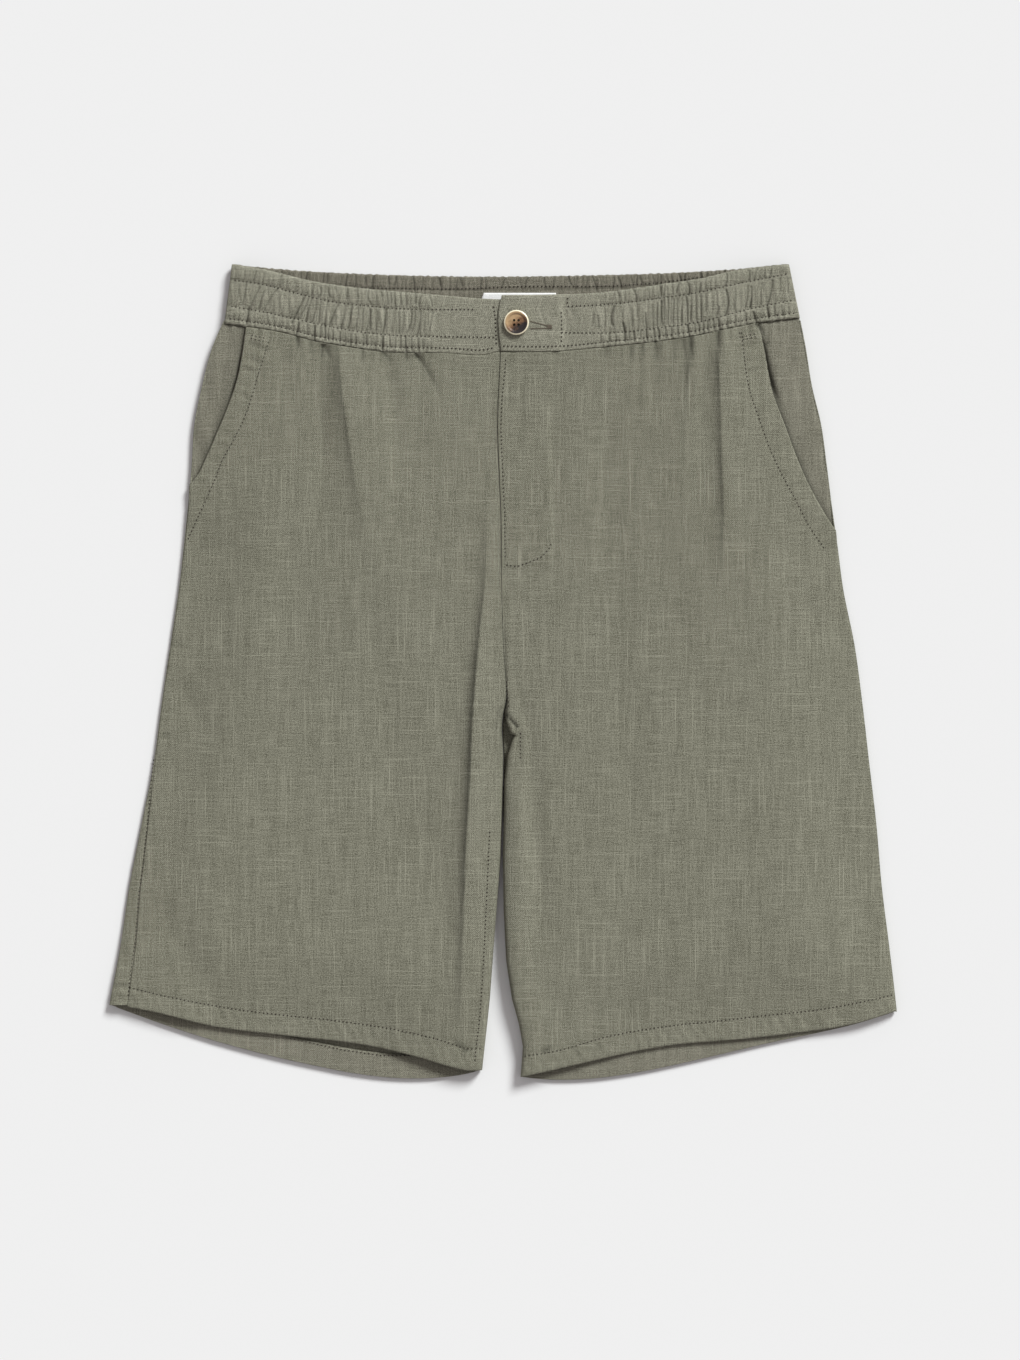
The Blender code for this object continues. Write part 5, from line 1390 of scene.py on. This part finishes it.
def front_band(leg, stop, columns):
    """Half of the front waistband from its end to X stop, its end rounded down to meet the back band."""
    share = np.concatenate([BAND_TOP_ROWS, np.linspace(*BAND_MIDDLE_ROWS, BAND_STEPS), BAND_SEAM_ROWS])
    share = share[:, None]
    spread = np.linspace(*BAND_MIDDLE_COLUMNS, columns)
    spread = np.concatenate([BAND_SIDE_COLUMNS, spread, BAND_END_COLUMNS])
    end = band_end(leg, share)
    if leg["inward"] < 0.0:
        stop = stop - smooth(FLAP_EDGE, share)
    x = end + (stop - end) * spread
    high = smooth(leg["band_top"], x)
    low = smooth(leg["seam"], x) + SEAM_GAP
    elastic = 1.0 - plain_centre(x)
    scallop = waves(x, 0.0, *BAND_TOP_WAVES) * elastic
    pucker = waves(x, 0.0, *BAND_SEAM_WAVES) * elastic
    y = high + (low - high) * share + scallop * (1.0 - share) ** 4 + pucker * share**8
    outer_z, dark = band_outer(leg, x, y)
    inside = np.full(x.shape, BAND_INSIDE)
    if leg["inward"] < 0.0:
        inside = BAND_INSIDE + LAYER * ease(x, ELASTIC_END_LEFT, UNDERLAP_END + 1.0)
    distance = leg["inward"] * (x - end)
    inner_z = rounded_end(leg, share, x, inside - thinning(distance, BAND_LEVEL))
    shift = BAND * np.clip(1.0 - distance / BAND_ROLL, 0.0, 1.0)
    drop = BAND_HEIGHT * share + 0.0 * x
    rise = BAND_HEIGHT * (1.0 - share) + 0.0 * x
    roll = edge_drop(drop, *BAND_TOP_ROLL) + edge_drop(rise, *BAND_SEAM_ROLL)
    roll = roll + edge_drop(np.abs(stop - x), *FLAP_ROLL)
    outer = np.stack([x, y, outer_z - roll], axis=-1)
    lift = np.minimum(roll, BAND_FOLLOW[0]) * np.clip(distance / BAND_FOLLOW_START, 0.0, 1.0)
    inner = np.stack([x + leg["inward"] * shift, y, inner_z + BAND_FOLLOW[1] * lift], axis=-1)
    solid = "waistband_front_" + leg["name"]
    cloth = shell("waistband_cloth_" + leg["name"], outer, inner, LINEN_BAND, "linen_band", [solid], dark)
    "front_cloth_" + leg["name"]


def back_creases():
    """Creases of the back band in even steps, with sines of unlike pitch in place, lean, size and bow."""
    count = np.arange(BACK_CREASES)
    place = BACK_CREASE_START + BACK_CREASE_PITCH * count + 1.3 * np.sin(2.3 * count)
    lean = 1.5 * np.sin(3.1 * count + 0.6)
    size = 0.55 + 0.45 * np.sin(1.7 * count + 0.4)
    top = smooth(BACK_BAND_TOP, place)
    drop = np.where(np.sin(1.1 * count) > -0.2, 13.0, 8.5)
    bow = 0.8 * np.sin(1.9 * count)
    width = np.full(len(count), BAND_CREASE_WIDTH)
    ends = [place + lean, top + 0.5, place - lean, top - drop]
    return np.column_stack([*ends, bow, -0.9 * size, width, width, BACK_CREASE_SHADE * size])


def back_band_face(x, y, share):
    """Height and painted shade of the back band's inner face: fine gathers, drawn in at its row of stitching.
    """
    crease, dark = straight_folds(back_creases(), x, y, True, BACK_CREASE_FADES)
    clear = ease(np.abs(x - LABEL_CENTRE[0]) - LABEL_SIZE[0] / 2, 1.0, 5.0)
    gather = waves(x, share, *BACK_GATHERS[0]) + waves(x, share, *BACK_GATHERS[1])
    drawn = bell(share - BACK_ROW_SHARE, 0.03)
    height = BAND - 0.1 + gather * (1.0 - 0.8 * drawn) * (0.25 + 0.75 * clear) + crease * clear - 0.4 * drawn
    # painted shade in the creases, kept off the label below its top, and along the row where the band is
    # drawn in
    return height, np.maximum(dark * np.maximum(clear, ease(y, 267.0, 269.0)), 0.15 * drawn)


def waistband_back():
    """Back waistband, gathered all along its inner face and flat below, with its ends rounded up."""
    start = RIGHT["band_end"][0]
    stop = LEFT["band_end"][0]
    edge = BACK_BAND_ROLL * (1.0 - np.cos(np.linspace(0.0, math.pi / 2, BACK_BAND_EDGE)))
    middle = np.linspace(start + BACK_BAND_ROLL, stop - BACK_BAND_ROLL, BACK_BAND_COLUMNS)
    x = np.concatenate([start + edge[:-1], middle, stop - edge[-2::-1]])
    share = np.concatenate([BAND_TOP_ROWS, *(np.linspace(*rows) for rows in BACK_BAND_ROWS)])
    share = share[:, None]
    seam = BAND_EDGE - GAP / 2
    across = (x - start) / (stop - start)
    low_end = band_end(RIGHT, share)
    high_end = band_end(LEFT, share)
    distance = np.minimum(x - start, stop - x)
    flat = rounding(distance, BACK_BAND_ROLL)
    scallop = waves(x, 0.0, *BACK_TOP_WAVES)
    roll = edge_drop(BAND_HEIGHT * share, *BACK_BAND_TOP_ROLL) * flat
    faces = []
    for depth in (0.0, BAND):
        shift = depth * np.clip(1.0 - distance / BACK_BAND_ROLL, 0.0, 1.0)
        place = low_end + (high_end - low_end) * across + np.sign(0.5 - across) * shift
        y = smooth(BACK_BAND_TOP, place) - (BAND_HEIGHT - WAIST_GAP / 2) * share
        y = y + scallop * (1.0 - share) ** 6
        height, dark = back_band_face(x, y, share) if depth > 0.0 else (0.0, None)
        z = seam - (seam - height) * flat + 0.0 * share
        z = z - roll if depth > 0.0 else z + 0.4 * roll
        faces.append(np.stack([place, y, z], axis=-1))
    cloth = shell(
        "waistband_cloth_back", faces[1], faces[0], LINEN_BACK_BAND_PAINTED_SHADE, "linen_band", ["waistband_back"], dark
    )


def label():
    """Blank woven label on the inner face of the back waistband, its upper left corner turned in a little."""
    width, height, thickness = LABEL_SIZE
    u = np.linspace(-0.5, 0.5, 60)[None, :]
    v = np.linspace(0.5, -0.5, 26)[:, None]
    y = LABEL_CENTRE[1] - LABEL_DROP / 2 + (height - LABEL_DROP) * v + 0.0 * u
    corner = LABEL_CORNER * ease(y, LABEL_CORNER_LEVEL, LABEL_CENTRE[1] + height / 2 - LABEL_DROP)
    x = LABEL_CENTRE[0] + width * u + corner * (0.5 - u)
    base = BAND + 0.15
    z = base + thickness + waves(x, y, *LABEL_WAVES)
    edge = np.minimum((0.5 - np.abs(u)) * width, (0.5 - np.abs(v)) * height)
    outer = np.stack([x, y, z - edge_drop(edge, *LABEL_ROLL)], axis=-1)
    inner = np.stack([x, y, base + 0.0 * x], axis=-1)
    cloth = shell("label_woven", outer, inner, LABEL_WHITE, "label_white", ["label"])


# ---------------------------------------------------------------- sewing


def front_sewing(leg):
    """Rows of stitches of one front and its half of the waistband, and on the left the buttonhole."""

    def on_front(x, y):
        """Height of the front's outer face over a place."""
        return front_point(leg, x, y)[..., 2]

    def on_band(x, y):
        """Height of the band's outer face over a place."""
        return band_outer(leg, x, y)[0]

    pocket = leg["pocket_stitch"]
    hem = leg["hem_stitch"]
    paths = [curve(pocket, pocket[0, 0], pocket[-1, 0], True), curve(hem, hem[0, 0], hem[-1, 0])]
    rows = [stitch_row(path, on_front) for path in (*paths, *leg["front_stitches"])]
    for row, stop in enumerate(leg["row_ends"], 1):
        share = stitching_shares(leg, np.array(leg["band_end"][1]))[row]
        x = np.linspace(band_end(leg, share) + leg["inward"] * ROW_START, stop, 300)
        high, size = band_height(leg, x)
        path = np.column_stack([x, high - size * stitching_shares(leg, x)[row]])
        rows.append(stitch_row(path, on_band, STITCH_RADIUS))
    rows.extend(stitch_row(path, on_band, STITCH_RADIUS) for path in leg["band_stitches"])
    if leg["inward"] < 0.0:
        bars("buttonhole_thread", *joined(buttonhole(on_band)), THREAD_OLIVE)
    bars("stitches_" + leg["name"], *joined(rows), THREAD)


def back_sewing():
    """Row of stitches along the inner face of the back band, and the one that shows on the right back hem."""

    def on_band(x, y):
        """Height of the back band's inner face over a place."""
        share = (smooth(BACK_BAND_TOP, x) - y) / (BAND_HEIGHT - WAIST_GAP / 2)
        return back_band_face(x, y, share)[0]

    def on_turn_up(x, y):
        """Height of the turned-up hem's inner face, which is flat."""
        return LAYER + TURN_UP + 0.0 * x

    band_row = stitch_row(curve(BACK_ROW, *BACK_ROW_ENDS), on_band, STITCH_RADIUS)
    bars("stitches_back", *joined([band_row, stitch_row(BACK_HEM_ROW, on_turn_up)]), THREAD)


def buttonhole(surface):
    """Overcast edges of the buttonhole, drawn together at its outer end into a bartack."""
    x = np.arange(*BUTTONHOLE)
    gape = np.interp(x, (19.0, 32.0), (1.0, 0.0))
    rows = []
    for level, rise in BUTTONHOLE_EDGES:
        middle = level + rise * gape
        rows.append((x, middle + BUTTONHOLE_REACH, x + 0.35, middle - BUTTONHOLE_REACH))
    x = np.arange(*BARTACK)
    rows.append((x, np.full(len(x), BARTACK_LEVELS[0]), x + 0.2, np.full(len(x), BARTACK_LEVELS[1])))
    return [
        thread_turns(surface, np.column_stack(row[:2]), np.column_stack(row[2:]), BUTTONHOLE_RADIUS)
        for row in rows
    ]


# ---------------------------------------------------------------- stage


def stage():
    """Pale floor, soft key light from the upper right, even fill, and a camera that looks straight down."""
    mesh = bpy.data.meshes.new("floor")
    corners = [(x * FLOOR_HALF, y * FLOOR_HALF, FLOOR_LEVEL) for x, y in ((-1, -1), (1, -1), (1, 1), (-1, 1))]
    mesh.from_pydata(corners, [], [(0, 1, 2, 3)])
    floor = bpy.data.objects.new("floor", mesh)
    bpy.context.scene.collection.objects.link(floor)
    g = Graph("floor_white")
    g.surface.inputs["Base Color"].default_value = (0.8, 0.8, 0.8, 1.0)
    g.surface.inputs["Roughness"].default_value = 0.95
    g.surface.inputs["Specular IOR Level"].default_value = 0.0
    mesh.materials.append(g.material)

    sun = bpy.data.lights.new("key", "SUN")
    sun.energy = KEY_STRENGTH
    sun.angle = math.radians(KEY_SPREAD)
    sun.color = KEY_COLOUR
    lamp = bpy.data.objects.new("key", sun)
    lamp.rotation_euler = (0.0, math.radians(90.0 - KEY_HEIGHT), math.radians(KEY_SIDE))
    bpy.context.scene.collection.objects.link(lamp)

    world = bpy.data.worlds.new("studio")
    world.use_nodes = True
    world.node_tree.nodes["Background"].inputs["Color"].default_value = (*FILL_COLOUR, 1.0)
    world.node_tree.nodes["Background"].inputs["Strength"].default_value = FILL_STRENGTH
    bpy.context.scene.world = world

    camera = bpy.data.cameras.new("camera")
    camera.sensor_width = SENSOR
    camera.lens = SENSOR * VIEW_DISTANCE / VIEW_HEIGHT
    camera.clip_end = 20.0
    eye = bpy.data.objects.new("camera", camera)
    eye.location = (*VIEW_CENTRE, VIEW_DISTANCE + VIEW_LEVEL)
    bpy.context.scene.collection.objects.link(eye)
    bpy.context.scene.camera = eye
    bpy.context.scene.view_settings.view_transform = "Standard"


for each in (RIGHT, LEFT):
    front_panel(each)
    back_panel(each)
    pocket_facing(each)
front_band(RIGHT, UNDERLAP_END, BAND_COLUMNS_RIGHT)
front_band(LEFT, FLAP_START, BAND_COLUMNS_LEFT)
waistband_back()
label()
front_sewing(RIGHT)
front_sewing(LEFT)
back_sewing()
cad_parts["button"].data.materials.clear()
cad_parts["button"].data.materials.append(HORN)
stage()
